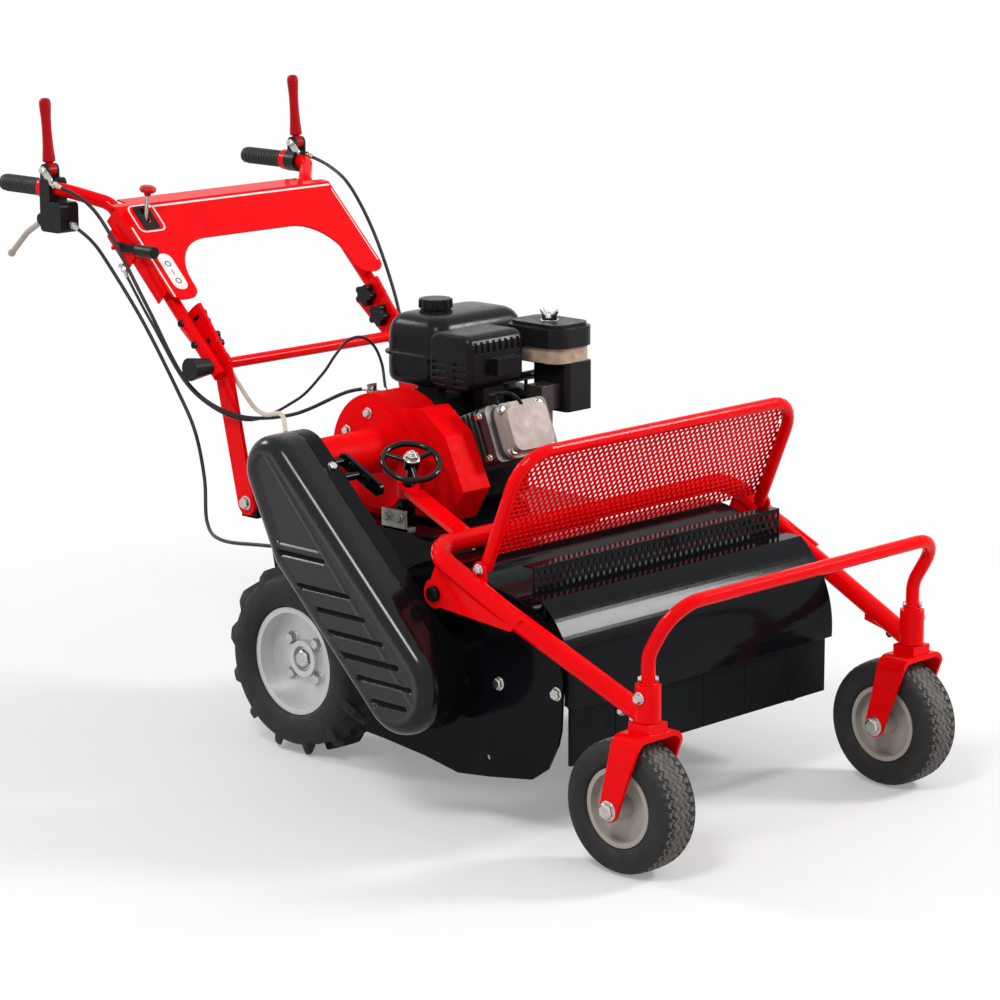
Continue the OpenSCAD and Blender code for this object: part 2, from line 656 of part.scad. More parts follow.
module flail_row(k) color(cast) rotor_place(k) {
  ycyl(0, -rod_r, rod_d, -drum_y, drum_y);
  for (i = [0:flail_count - 1]) translate([0, flail_y(i) + (k - 0.5)*flail_step/2, -rod_r]) {
    ycyl(0, 0, flail_eye_d, -flail_w/2, flail_w/2);
    block([-flail_t/2, -flail_w/2, -flail_len], [flail_t/2, flail_w/2, 0]);
  }
}

// BELT DRIVE
drive_at = [crank_x, crank_z];
pulley_hub = 24;
pulley_w = 22;
pulley_lip = 13;
pulley_web = 4;
belt_w = 13;
belt_t = 10;
belt_y = tray_y - pulley_hub/2;
groove_gap = 0.5;
groove_deep = 1;
drive_shaft_d = 24;
module pulley(c, r) difference() {
  union() {
    ycyl(c[0], c[1], 2*(r - groove_deep), belt_y - pulley_w/2, belt_y + pulley_w/2);
    for (k = [-1, 1]) ycyl(c[0], c[1], 2*(r + pulley_lip), belt_y + k*(belt_w/2 + groove_gap + pulley_web/2)
        - pulley_web/2,
      belt_y + k*(belt_w/2 + groove_gap + pulley_web/2) + pulley_web/2);
  }
  children();
}
module rotor_pulley() color(cast) pulley(rotor_at, rotor_pulley_r)
    ycyl(rotor_x, rotor_z, shaft_d, belt_y - pulley_w, belt_y + pulley_w);
module drive_pulley() color(cast) union() {
  pulley(drive_at, drive_pulley_r);
  ycyl(crank_x, crank_z, drive_shaft_d, belt_y, tray_in + shaft_deep);
}
module drive_belt() color(rubber) xz(belt_y - belt_w/2, belt_y + belt_w/2) difference() {
  polygon(belt_line(drive_at, drive_pulley_r + belt_t, rotor_at, rotor_pulley_r + belt_t, 24));
  polygon(belt_line(drive_at, drive_pulley_r, rotor_at, rotor_pulley_r, 24));
}

// guard outline: two rounds with a bulge towards the rear wheel
bulge_at = [196, 424];
bulge_r = 25;
function guard_line(i) = let (v = rotor_at - drive_at, a = atan2(v[1], v[0]),
    b = acos((guard_top_r - guard_low_r)/norm(v)),
  w = bulge_at - drive_at, c = atan2(w[1], w[0]), d = acos((guard_top_r - bulge_r)/norm(w)),
  z = rotor_at - bulge_at, e = atan2(z[1], z[0]), f = acos((bulge_r - guard_low_r)/norm(z)))
  concat(arc(drive_at, guard_top_r - i, a + b, c + 360 - d, 22),
      arc(bulge_at, bulge_r - i, c + 360 - d, e + 360 - f, 6),
  arc(rotor_at, guard_low_r - i, e + 360 - f, a + 360 + b, 22));
function at_y(l, y) = [for (q = l) [q[0], y, q[1]]];
cover_t = 3.5;
cover_edges = [[0, 26], [1.5, 16], [5, 8], [11, 2.5], [19, 0]];
rib_h = 9;
// ribs on the face: rear end, front end and height of each
rib_bars = [[190, 308, 435], [238, 369, 385], [284, 405, 352], [312, 447, 318], [344, 483, 285],
    [380, 513, 252], [416, 501, 218]];
module belt_guard_cover() color(grey) {
  loft(concat([at_y(guard_line(cover_edges[4][0] + cover_t), -guard_out + cover_t),
      at_y(guard_line(cover_edges[0][0] + cover_t), -guard_out + cover_edges[0][1]),
    at_y(guard_line(cover_t), tray_y), at_y(guard_line(0), tray_y)],
    [for (q = cover_edges) at_y(guard_line(q[0]), -guard_out + q[1])]));
  for (q = rib_bars) xz(-guard_out - rib_proud, -guard_out + cover_t/2)
    translate([(q[0] + q[1])/2, q[2]]) polygon(round_rect(q[1] - q[0], rib_h, rib_h/2.2, 5));
}

tray_t = 4;
tray_box_d = 150;
tray_ring = 12;
module belt_guard_back() color(black) difference() {
  union() {
    xz(tray_y, tray_in) polygon(guard_line(0));
    ycyl(rotor_x, rotor_z, tray_box_d, tray_in - tray_t, -deck_y - run_gap);
  }
  xz(tray_y - cut, tray_in - tray_t) polygon(guard_line(tray_t));
  ycyl(rotor_x, rotor_z, tray_box_d - 2*tray_ring, tray_in - 2*tray_t, -deck_y);
  ycyl(crank_x, crank_z, drive_shaft_d + 2*free_gap, tray_in - 2*tray_t, tray_in + cut);
}

// red clutch housing beside the engine
drum_at = [134, 548];
drum_r = 112;
drum_low = asin((bed_z + run_gap - drum_at[1])/drum_r);
house_in = -104;
house_out = -182;
house_nose = 6;
nose_r = 92;
shaft_deep = 40;
house_boss_d = 78;
wing_at = [190, 455];
wing_size = [146, 190];
wing_shares = [[0, 0], [0.75, 0], [1, 0.3], [0.7, 0.78], [0.3, 1], [0, 0.95]];
house_bolt_d = 14;
module clutch_housing() color(red) difference() {
  union() {
    xz(house_out, house_in) polygon(arc(drum_at, drum_r, drum_low, 180 - drum_low, 71));
    xz(house_out - house_nose, house_out) polygon(arc(drum_at, nose_r, 0, 355, 71));
    xz(house_out + 2*house_nose, house_in) polygon(shares_to(wing_shares, wing_at, wing_size));
    ycyl(crank_x, crank_z, house_boss_d, tray_in + run_gap, house_out);
  }
  ycyl(crank_x, crank_z, drive_shaft_d + 2*run_gap, tray_in - cut, tray_in + shaft_deep + free_gap);
}

// CHASSIS
bed_t = 8;
bed_x0 = 10;
bed_x1 = 338;
bed_y0 = -252;
bed_y1 = 170;
rail_t = 8;
// room between a rail and its tyre
tyre_gap = 3;
// inner face of a rail
rail_y = rear_y - rear_wheel_w/2 - rail_t - tyre_gap;
rail_x = -185;
rail_len = 510;
rail_z = 138;
saddle = chamber_r + shell_t + run_gap;
rail_shares = [[0.87, 0.24], [0.52, 0.01], [0.2, 0.01], [0.05, 0.45], [0, 0.85], [0, 1], [1, 1]];
beam_h = 40;
beam_w = 40;
beam_half = 217;
axle_tube_d = 58;
collar_d = 30;
collar_h = 26;
spindle_end = wheel_at - spindle_len*spin_dir;
post_w = 26;
module chassis_frame() color(black) difference() {
  union() {
    block([bed_x0, bed_y0, bed_z - bed_t], [bed_x1, bed_y1, bed_z]);
    both() xz(rail_y, rail_y + rail_t) polygon(concat(arc(rotor_at, saddle, 127, 166, 48),
      shares_to(rail_shares, [rail_x, rail_z], [rail_len, bed_z - bed_t - rail_z])));
    block([rail_x, -beam_half, bed_z - bed_t - beam_h], [rail_x + beam_w, beam_half, bed_z - bed_t]);
    translate(spindle_end - spin_dir*collar_h/4) aim(spin_dir) cylinder(d = collar_d, h = collar_h);
    block([spindle_end[0] - post_w, spindle_end[1] - post_w/2, bed_z - bed_t/2],
      [spindle_end[0] + post_w/2, spindle_end[1] + post_w/2, spindle_end[2] + collar_h/4]);
  }
  translate(spindle_end - slide_gap*spin_dir) aim(spin_dir)
      cylinder(d = spindle_d + 2*run_gap, h = 2*collar_h);
  both() ycyl(0, rear_r, axle_tube_d + 2*slide_gap, rail_y - cut, rail_y + rail_t + cut);
}

case_y = 108;
case_back = 86;
case_front = 84;
case_low = 108;
case_round = 46;
case_rib = 10;
hub_gap = 8.6;
// end of the axle tube
axle_tube_y = rear_y - hub_in_share*rear_wheel_w - hub_gap;
axle_end = rear_y + hub_out_share*rear_wheel_w - hub_recess/2;
module transmission_case() color(cast) {
  xz(-case_y, case_y) polygon(concat(arc([case_front - case_round, case_low + case_round], case_round, 270,
      360, 8),
    [[case_front, bed_z - bed_t - run_gap], [-case_back, bed_z - bed_t - run_gap]],
    arc([case_round - case_back, case_low + case_round], case_round, 180, 270, 8)));
  ycyl(0, rear_r, axle_tube_d, -axle_tube_y, axle_tube_y);
  ycyl(0, rear_r, axle_d, -axle_end, axle_end);
}

// ENGINE
block_x0 = 62;
block_x1 = 236;
block_top = 645;
block_left = 95;
block_round = 30;
module engine_block() color(black) {
  xz(house_in + run_gap, block_left) translate([(block_x0 + block_x1)/2, (bed_z + run_gap + block_top)/2])
    polygon(round_rect(block_x1 - block_x0, block_top - bed_z - run_gap, block_round, 8));
}
fin_count = 8;
fin_t = 4;
fin_y0 = -98;
fin_y1 = 54;
core_in = 18;
fin_round = 12;
// cylinder: where its axis starts, how far it leans up, and its height
head_x = 234;
head_z = 562;
head_tilt = 22;
head_h = 101;
// along the axis: first fin, end of the fins, face of the head
fin_from = 4;
fin_pack = 92;
head_end = 106;
fin_mid = [(fin_y0 + fin_y1)/2, 0];
fin_step = (fin_pack - fin_from - fin_t)/(fin_count - 1);
module head_frame() translate([head_x, 0, head_z]) rotate([0, -head_tilt, 0]) children();
module cylinder_head() color(cast) difference() {
  head_frame() {
    for (i = [0:fin_count - 1]) yz(fin_from + i*fin_step, fin_from + i*fin_step + fin_t)
      translate(fin_mid) polygon(round_rect(fin_y1 - fin_y0, head_h, fin_round, 6));
    yz(0, head_end) translate(fin_mid) polygon(round_rect(fin_y1 - fin_y0 - 2*core_in, head_h - 2*core_in,
        fin_round, 6));
    yz(fin_pack, head_end) translate(fin_mid) polygon(round_rect(fin_y1 - fin_y0, head_h, fin_round, 6));
  }
  block([block_x0, 2*fin_y0, bed_z], [block_x1 + run_gap, 2*fin_y1, block_top + head_h]);
}
cover_w = 116;
cover_h = 98;
cover_base = 8;
cover_rise = 16;
cover_in = 9;
cover_round = 22;
cover_bolt_d = 12;
cover_bolt_h = 5;
cover_bolt_in = 12;
module valve_cover() color(silver) head_frame() {
  yz(head_end + run_gap, head_end + cover_base) translate(fin_mid)
      polygon(round_rect(cover_w, cover_h, cover_round, 6));
  yz(head_end + cover_base, head_end + cover_base + cover_rise) translate(fin_mid)
    polygon(round_rect(cover_w - 2*cover_in, cover_h - 2*cover_in, cover_round - cover_in/2, 6));
  for (a = [-1, 1], b = [-1, 1]) xcyl(fin_mid[0] + a*(cover_w/2 - cover_bolt_in),
      fin_mid[1] + b*(cover_h/2 - cover_bolt_in),
    cover_bolt_d, head_end + cover_base, head_end + cover_base + cover_bolt_h, $fn = 6);
}
muf_x0 = 173;
muf_x1 = 276;
muf_y0 = -92;
muf_y1 = 42;
muf_z0 = 664;
muf_z1 = 764;
muf_round = 22;
slot_cols = 2;
slot_rows = 4;
slot_w = 32;
slot_h = 6;
slot_deep = 3;
pipe_d = 30;
pipe_len = 16;
pipe_y = -10;
pipe_z = 706;
port_w = 50;
port_y = -50;
port_back = 18;
port_front = 14;
port_sink = 10;
// rounding of the muffler's ends: shares of muf_edge inwards and along
muf_edge = 9;
muf_edge_shares = [[1, 0], [0.45, 0.12], [0.12, 0.45], [0, 1]];
// louvres under the top edge
louvre_count = 8;
louvre_w = 7;
louvre_h = 20;
louvre_down = 12;
function muf_ring(i, y) = at_y([for (q = flip(round_rect(muf_x1 - muf_x0 - 2*i, muf_z1 - muf_z0 - 2*i,
  muf_round - i/2, 5))) q + [(muf_x0 + muf_x1)/2, (muf_z0 + muf_z1)/2]], y);
module muffler() color(black) difference() {
  union() {
    loft(concat([for (q = muf_edge_shares) muf_ring(q[0]*muf_edge, muf_y0 + q[1]*muf_edge)],
      [for (q = flip(muf_edge_shares)) muf_ring(q[0]*muf_edge, muf_y1 - q[1]*muf_edge)]));
    block([muf_x1 - port_back - port_front, port_y, head_z],
        [muf_x1 - port_back/2, port_y + port_w, muf_z0 + port_sink]);
    block([muf_x1 - cut, pipe_y - pipe_d, pipe_z - pipe_d/2],
        [muf_x1 + pipe_len, pipe_y + pipe_d, pipe_z + pipe_d/2]);
  }
  head_frame() block([-head_h, 2*fin_y0, -head_h], [2*head_end, 2*fin_y1, head_h/2 + run_gap]);
  for (i = [0:slot_cols - 1], j = [0:slot_rows - 1])
    block([muf_x0 + (i + 0.5)*(muf_x1 - muf_x0)/slot_cols - slot_w/2, muf_y0 - cut,
        muf_z0 + (2*j + 1.5)*slot_h],
      [muf_x0 + (i + 0.5)*(muf_x1 - muf_x0)/slot_cols + slot_w/2, muf_y0 + slot_deep,
          muf_z0 + (2*j + 2.5)*slot_h]);
  for (i = [0:louvre_count - 1]) let (y = muf_y0 + (i + 1)*(muf_y1 - muf_y0)/(louvre_count + 1))
    block([muf_x1 - slot_deep, y - louvre_w/2, muf_z1 - louvre_down - louvre_h],
        [muf_x1 + cut, y + louvre_w/2, muf_z1 - louvre_down]);
  block([muf_x1 + sheet, pipe_y - pipe_d + sheet, pipe_z - pipe_d],
      [muf_x1 + pipe_len - sheet, pipe_y + pipe_d - sheet, pipe_z + pipe_d/2 - sheet]);
}
air_x = 262;
air_y = 121;
air_w = 136;
air_d = 104;
air_round = 30;
air_low = 698;
air_band = 727;
air_top = 768;
air_in = 7;
// box under the cleaner
air_box_x0 = 240;
air_box_x1 = 326;
air_box_z = 612;
air_box_round = 9;
wing_nut_d = 26;
wing_nut_h = 10;
wing_blade = 34;
wing_blade_t = 5;
module air_cleaner() color(black) translate([air_x, air_y, 0]) {
  translate([-air_x, -air_y, 0]) xy(air_box_z, air_low + cut)
      translate([(air_box_x0 + air_box_x1)/2, (carb_y1 + run_gap + air_y + air_d/2 - air_in)/2])
    polygon(round_rect(air_box_x1 - air_box_x0, air_y + air_d/2 - air_in - carb_y1 - run_gap, air_box_round,
        4));
  xy(air_low, air_band) polygon(round_rect(air_w - 2*air_in, air_d - 2*air_in, air_round - air_in, 6));
  xy(air_band, air_top - air_in) polygon(round_rect(air_w, air_d, air_round, 6));
  xy(air_top - air_in, air_top) polygon(round_rect(air_w - 2*air_in, air_d - 2*air_in, air_round - air_in,
      6));
  zcyl(0, 0, wing_nut_d, air_top, air_top + wing_nut_h/2);
  xy(air_top, air_top + wing_nut_h) polygon(round_rect(wing_blade, wing_blade_t, wing_blade_t/3, 4));
}
carb_x0 = 268;
carb_x1 = 308;
carb_y1 = 99;
carb_z0 = 618;
carb_neck = 44;
// float bowl under the carburettor
bowl_d = 36;
bowl_h = 26;
module carburettor() color(cast) {
  block([carb_x0, fin_y1 + run_gap, carb_z0], [carb_x1, carb_y1, carb_z0 + carb_neck]);
  zcyl((carb_x0 + carb_x1)/2, (fin_y1 + carb_y1)/2, bowl_d, carb_z0 - bowl_h, carb_z0 + cut);
}
tank_x0 = 12;
tank_x1 = 168;
tank_y0 = -62;
tank_y1 = 176;
tank_z0 = 650;
tank_seam = 706;
tank_shoulder = 742;
tank_top = 778;
tank_round = 34;
tank_in = 14;
tank_lip = 5;
tank_draft = 6;
// shoulder curve, shares inwards and up
tank_shoulder_shares = [[0, 0], [0.05, 0.3], [0.16, 0.58], [0.36, 0.82], [0.62, 0.95], [1, 1]];
tank_foot_x = 96;
tank_foot_len = 52;
tank_foot_w = 22;
tank_feet_y = [-44, 62];
tank_foot_sink = 12;
neck_d = 40;
neck_h = 10;
cap_x = 74;
cap_y = 24;
cap_d = 56;
cap_h = 20;
cap_grips = 12;
cap_grip_d = 7;
tank_mid = [(tank_x0 + tank_x1)/2, (tank_y0 + tank_y1)/2];
function tank_ring(i, z) = [for (q = round_rect(tank_x1 - tank_x0 - 2*i, tank_y1 - tank_y0 - 2*i,
    tank_round, 6)) [tank_mid[0] + q[0], tank_mid[1] + q[1], z]];
module fuel_tank() color(black) {
  loft([tank_ring(tank_in, tank_z0), tank_ring(tank_lip, tank_z0 + tank_in),
      tank_ring(tank_lip, tank_seam - tank_lip), tank_ring(0, tank_seam - tank_lip/2),
    tank_ring(0, tank_seam + tank_lip/2), tank_ring(tank_lip, tank_seam + tank_lip),
    for (q = tank_shoulder_shares) tank_ring(tank_draft + q[0]*tank_in*3,
        tank_shoulder + q[1]*(tank_top - tank_shoulder))]);
  zcyl(cap_x, cap_y, neck_d, tank_top - neck_h, tank_top + neck_h);
  for (y = tank_feet_y) block([tank_foot_x, y, block_top + run_gap],
      [tank_foot_x + tank_foot_len, y + tank_foot_w, tank_z0 + tank_foot_sink]);
}
module fuel_cap() color(black) difference() {
  union() {
    zcyl(cap_x, cap_y, cap_d, tank_top + free_gap/2, tank_top + cap_h);
    for (i = [0:cap_grips - 1]) zcyl(cap_x + cap_d/2*cos(360*i/cap_grips),
        cap_y + cap_d/2*sin(360*i/cap_grips), cap_grip_d, tank_top + 2*free_gap,
        tank_top + cap_h - free_gap);
  }
  zcyl(cap_x, cap_y, neck_d + 2*run_gap, tank_top, tank_top + neck_h + run_gap);
}
recoil_d = 150;
recoil_y = 146;
recoil_nose_d = 110;
recoil_nose = 10;
pull_w = 70;
pull_d = 18;
pull_x = 205;
pull_z = 652;
module recoil_starter() color(black) {
  ycyl(crank_x, crank_z, recoil_d, block_left + run_gap, recoil_y);
  ycyl(crank_x, crank_z, recoil_nose_d, recoil_y, recoil_y + recoil_nose);
  block([pull_x - pull_d/2, recoil_y - pull_w, pull_z], [pull_x + pull_d/2, recoil_y, pull_z + pull_d]);
  block([pull_x - pull_d/4, recoil_y - pull_w/2, crank_z + recoil_d/2 - pull_w/2],
      [pull_x + pull_d/4, recoil_y - pull_w/4, pull_z]);
}
dip_y = -74;
dip_z = 506;
dip_d = 26;
dip_len = 16;
dip_grip = 22;
dip_grip_t = 7;
module oil_dipstick() color(orange) {
  xcyl(dip_y, dip_z, dip_d, block_x1 + run_gap, block_x1 + dip_len);
  block([block_x1 + dip_len, dip_y - dip_grip/2, dip_z - dip_grip_t/2],
      [block_x1 + dip_len + dip_grip/2, dip_y + dip_grip/2, dip_z + dip_grip_t/2]);
}

// fasteners: frame pivots, deck bolts, guard bolts and housing bolts
deck_bolt_d = 20;
deck_bolt_h = 6;
deck_bolts_shares = [[0.69, 0.51], [0.97, 0.53], [0.2, 0.62], [0.13, 0.4]];
house_bolt_h = 7;
house_bolts_at = [100, 150, 205];
house_bolt_r = 78;
module machine_bolts() color(silver) {
  both() {
    ycyl(pivot_x, pivot_z, pivot_d, deck_y + plate_deck, pivot_plate_in + plate + boss_gap);
    ycyl(pivot_x, pivot_z, pivot_head_d, pivot_plate_in + plate + boss_gap,
        pivot_plate_in + plate + boss_gap + pivot_head_h);
  }
  for (q = shares_to(deck_bolts_shares, [skirt_x, skirt_z], [skirt_len, skirt_h])) both()
      translate([q[0], deck_y + deck_bolt_h/2 + run_gap, q[1]]) rotate([90, 0, 0])
    cylinder(d = deck_bolt_d, h = deck_bolt_h, center = true, $fn = 6);
  for (a = house_bolts_at) translate([drum_at[0] + house_bolt_r*cos(a),
      house_out - house_nose - house_bolt_h/2 - run_gap, drum_at[1] + house_bolt_r*sin(a)])
    rotate([90, 0, 0]) cylinder(d = house_bolt_d, h = house_bolt_h, center = true, $fn = 6);
}

// HANDLE
leg_y = 217;
leg_t = 7;
leg_top_r = 120;
leg_fan = 18;
leg_waist = 27;
leg_foot = [-165, 427];
leg_foot_w = 23;
pin_d = 10;
bar_d = 20;
knob_low = 50;
knob_high = 100;
knob_bolt_d = 8;
slot_side = 4.4;
slot_low_fan = 15.6;
slot_high_fan = 13;
pin_out = 44;
slope_dir = 180 - handle_slope;
handle_at = [handle_x, handle_z];
function slot_line(r, f) = concat(arc(handle_at, r + slot_side, slope_dir - f, slope_dir + f, 10),
    arc(handle_at, r - slot_side, slope_dir + f, slope_dir - f, 10));
module lower_handle() color(red) {
  both() {
    xz(leg_y, leg_y + leg_t) difference() {
      polygon(concat(arc(handle_at, leg_top_r, slope_dir - leg_fan, slope_dir + leg_fan, 10),
          arc(handle_at, leg_waist, slope_dir + 70, slope_dir + 110, 4),
        arc(leg_foot, leg_foot_w, 200, 340, 10), arc(handle_at, leg_waist, slope_dir - 110, slope_dir - 70,
            4)));
      polygon(slot_line(knob_low, slot_low_fan));
      polygon(slot_line(knob_high, slot_high_fan));
    }
    ycyl(handle_x, handle_z, pin_d - 2*run_gap, leg_y, handle_y + handle_d/2 + pin_out - 2*free_gap);
  }
  ycyl(handle_x, handle_z, bar_d, -leg_y - leg_t/2, leg_y + leg_t/2);
}

tube_tail = 24;
tube_top = 384;
tube_bend = 40;
tube_rest = 180;
// red collar between a grip and its lever ring
collar_ring_d = 40;
handle_top_y = 240;
module handle_tubes() color(red) both() difference() {
  union() {
    xcyl(grip_y, grip_z, collar_ring_d, grip_len + slide_gap - grip_reach, -ring_back - run_gap);
    bent_tube([on_handle(-tube_tail, handle_y, 0), on_handle(tube_top, handle_top_y, 0),
        [tube_rest - grip_reach, grip_y, grip_z],
      [free_gap + run_gap - grip_reach, grip_y, grip_z]], tube_bend, handle_d);
  }
  ycyl(handle_x, handle_z, pin_d, handle_y - handle_d, handle_y + handle_d);
  for (u = [knob_low, knob_high]) translate(on_handle(u, handle_y, 0))
      ycyl(0, 0, knob_bolt_d + 2*run_gap, -handle_d, handle_d);
}

module hand_grips() color(rubber) both() difference() {
  xcyl(grip_y, grip_z, grip_d, -grip_reach, grip_len - grip_reach);
  xcyl(grip_y, grip_z, handle_d + 2*run_gap, free_gap - grip_reach, grip_len - grip_reach + cut);
}

panel_low = 133;
panel_top = 354;
panel_w = 528;
panel_up = 26;
panel_leg = 66;
arch_top = 262;
arch_r = 92;
// rounding of the panel's lower ends
leg_end_r = 24;
// seats that carry the panel on the tubes
seat_u = [175, 325];
seat_len = 30;
seat_w = 14;
flange_drop = 24;
shelf_u = 38;
shelf_w = 29;
shelf_half = 222;
shelf_edge_share = 0.42;
gate_u = 328;
gate_y = 210;
gate_len = 36;
gate_w = 13;
shift_u = 308;
shift_w = 2;
shift_pin_d = 8;
cheek_gap = 9;
cheek_t = 3;
cheek_r = 10;
throttle_u = 293;
throttle_w = -10;
throttle_plate_t = 4;
throttle_pin_d = 8;
throttle_pin_len = 20;
throttle_plate_len = 78;
throttle_plate_h = 34;
arch_half = panel_w/2 - panel_leg;
function shelf_line(f) = [[panel_top, panel_up + sheet],
    [panel_top + f*shelf_u, panel_up + sheet - f*shelf_w],
  [panel_top + f*shelf_u - sheet/2, panel_up - f*shelf_w], [panel_top - sheet/2, panel_up]];
module control_panel() color(red) handle_frame() difference() {
  union() {
    xy(panel_up, panel_up + sheet) difference() {
      polygon(concat([[panel_top, -panel_w/2], [panel_top, panel_w/2]],
        arc([panel_low + leg_end_r, panel_w/2 - leg_end_r], leg_end_r, 90, 180, 6),
        arc([panel_low + leg_end_r, leg_end_r - panel_w/2], leg_end_r, 180, 270, 6)));
      polygon(concat([[panel_low - cut, -arch_half - leg_end_r]],
        arc([panel_low + leg_end_r, -arch_half - leg_end_r], leg_end_r, 180, 90, 6),
        arc([arch_top - arch_r, arch_r - arch_half], arch_r, -90, 0, 10),
            arc([arch_top - arch_r, arch_half - arch_r], arch_r, 0, 90, 10),
        arc([panel_low + leg_end_r, arch_half + leg_end_r], leg_end_r, 270, 180, 6),
            [[panel_low - cut, arch_half + leg_end_r]]));
    }
    for (k = [-1, 1], u = seat_u) block([u - seat_len/2, k*handle_y - seat_w/2, handle_d/2 + run_gap],
      [u + seat_len/2, k*handle_y + seat_w/2, panel_up + sheet/2]);
    xz(-shelf_half, shelf_half) polygon(shelf_line(1));
    xz(-panel_w/2, panel_w/2) polygon(shelf_line(shelf_edge_share));
    for (k = [-1, 1]) block([panel_low + leg_end_r, k*(panel_w/2 - sheet/2) - sheet/2,
        panel_up - flange_drop - handle_d/2], [panel_top, k*(panel_w/2 - sheet/2) + sheet/2,
        panel_up + sheet]);
    for (k = [-1, 1]) translate([0, gate_y + k*(cheek_gap + cheek_t/2), 0]) xz(-cheek_t/2, cheek_t/2)
      polygon(concat([[shift_u - cheek_r, panel_up + sheet/2]],
          arc([shift_u, shift_w], cheek_r, 180, 360, 10), [[shift_u + cheek_r, panel_up + sheet/2]]));
    ycyl(shift_u, shift_w, shift_pin_d, gate_y - cheek_gap - cheek_t, gate_y + cheek_gap + cheek_t);
    block([throttle_u - throttle_plate_len/2, panel_w/2 - sheet/2, throttle_w - throttle_plate_h/2],
        [throttle_u + throttle_plate_len/2, panel_w/2 + throttle_plate_t, throttle_w + throttle_plate_h/2]);
    ycyl(throttle_u, throttle_w, throttle_pin_d, panel_w/2,
        panel_w/2 + throttle_plate_t + throttle_pin_len);
  }
  translate([gate_u - gate_len/2, gate_y - gate_w/2, panel_up - cut])
      cube([gate_len, gate_w, sheet + 2*cut]);
}

star_d = 30;
star_lobe_d = 13;
star_h = 18;
star_lobes = 5;
cone_in_d = 30;
cone_out_d = 42;
star_gap = 0.5;
module handle_knobs() color(black) both() {
  for (u = [knob_low, knob_high]) translate(on_handle(u, 0, 0)) {
    ycyl(0, 0, knob_bolt_d, leg_y - star_h, handle_y + handle_d/2 + slide_gap);
    ycyl(0, 0, star_lobe_d, handle_y + handle_d/2 + slide_gap,
        handle_y + handle_d/2 + slide_gap + knob_bolt_d/2);
    ycyl(0, 0, star_d, leg_y - star_gap - star_h, leg_y - star_gap);
    for (i = [0:star_lobes - 1]) ycyl(star_d/2*cos(360*i/star_lobes), star_d/2*sin(360*i/star_lobes),
        star_lobe_d, leg_y - star_gap - star_h, leg_y - star_gap - free_gap);
  }
  difference() {
    translate([handle_x, handle_y + handle_d/2 + star_gap, handle_z]) rotate([-90, 0, 0])
        cylinder(d1 = cone_in_d, d2 = cone_out_d, h = pin_out);
    ycyl(handle_x, handle_z, pin_d, handle_y, handle_y + handle_d/2 + pin_out - free_gap);
  }
}

// CONTROLS
lever_in = 145;
// lever pivot
lever_x = lever_in - grip_reach;
lever_z = 1001;
lever_y = 306;
lever_d = 24;
lever_eye_d = 24;
lever_eye_w = 16;
lever_pin_d = 8;
lever_lean = -4;
// neck between the eye and the handle of a lever
lever_neck_d = 15;
lever_neck = 14;
// outline of a lever handle, shares of its width and length
lever_shares = [[0.4, 0], [0.5, 0.02], [0.49, 0.08], [0.43, 0.2], [0.39, 0.36], [0.37, 0.52], [0.39, 0.7],
    [0.44, 0.82],
  [0.46, 0.9], [0.43, 0.95], [0.35, 0.98], [0.2, 0.995], [0, 1], [0, 0]];
ring_d = 42;
ring_from = 133;
// length of a ring
ring_len = 28;
// rear end of the ring
ring_back = grip_reach - ring_from;
ring_front = ring_back - ring_len;
lug_t = 5;
box_x0 = -ring_back;
box_len = 60;
// front end of the box
box_x1 = box_x0 + box_len;
box_drop = 22;
box_y0 = -322;
box_y1 = -280;
box_z0 = 888;
// top of the box beside the tube, and its rounding
box_top = 986;
box_round = 9;
brake_behind = 12;
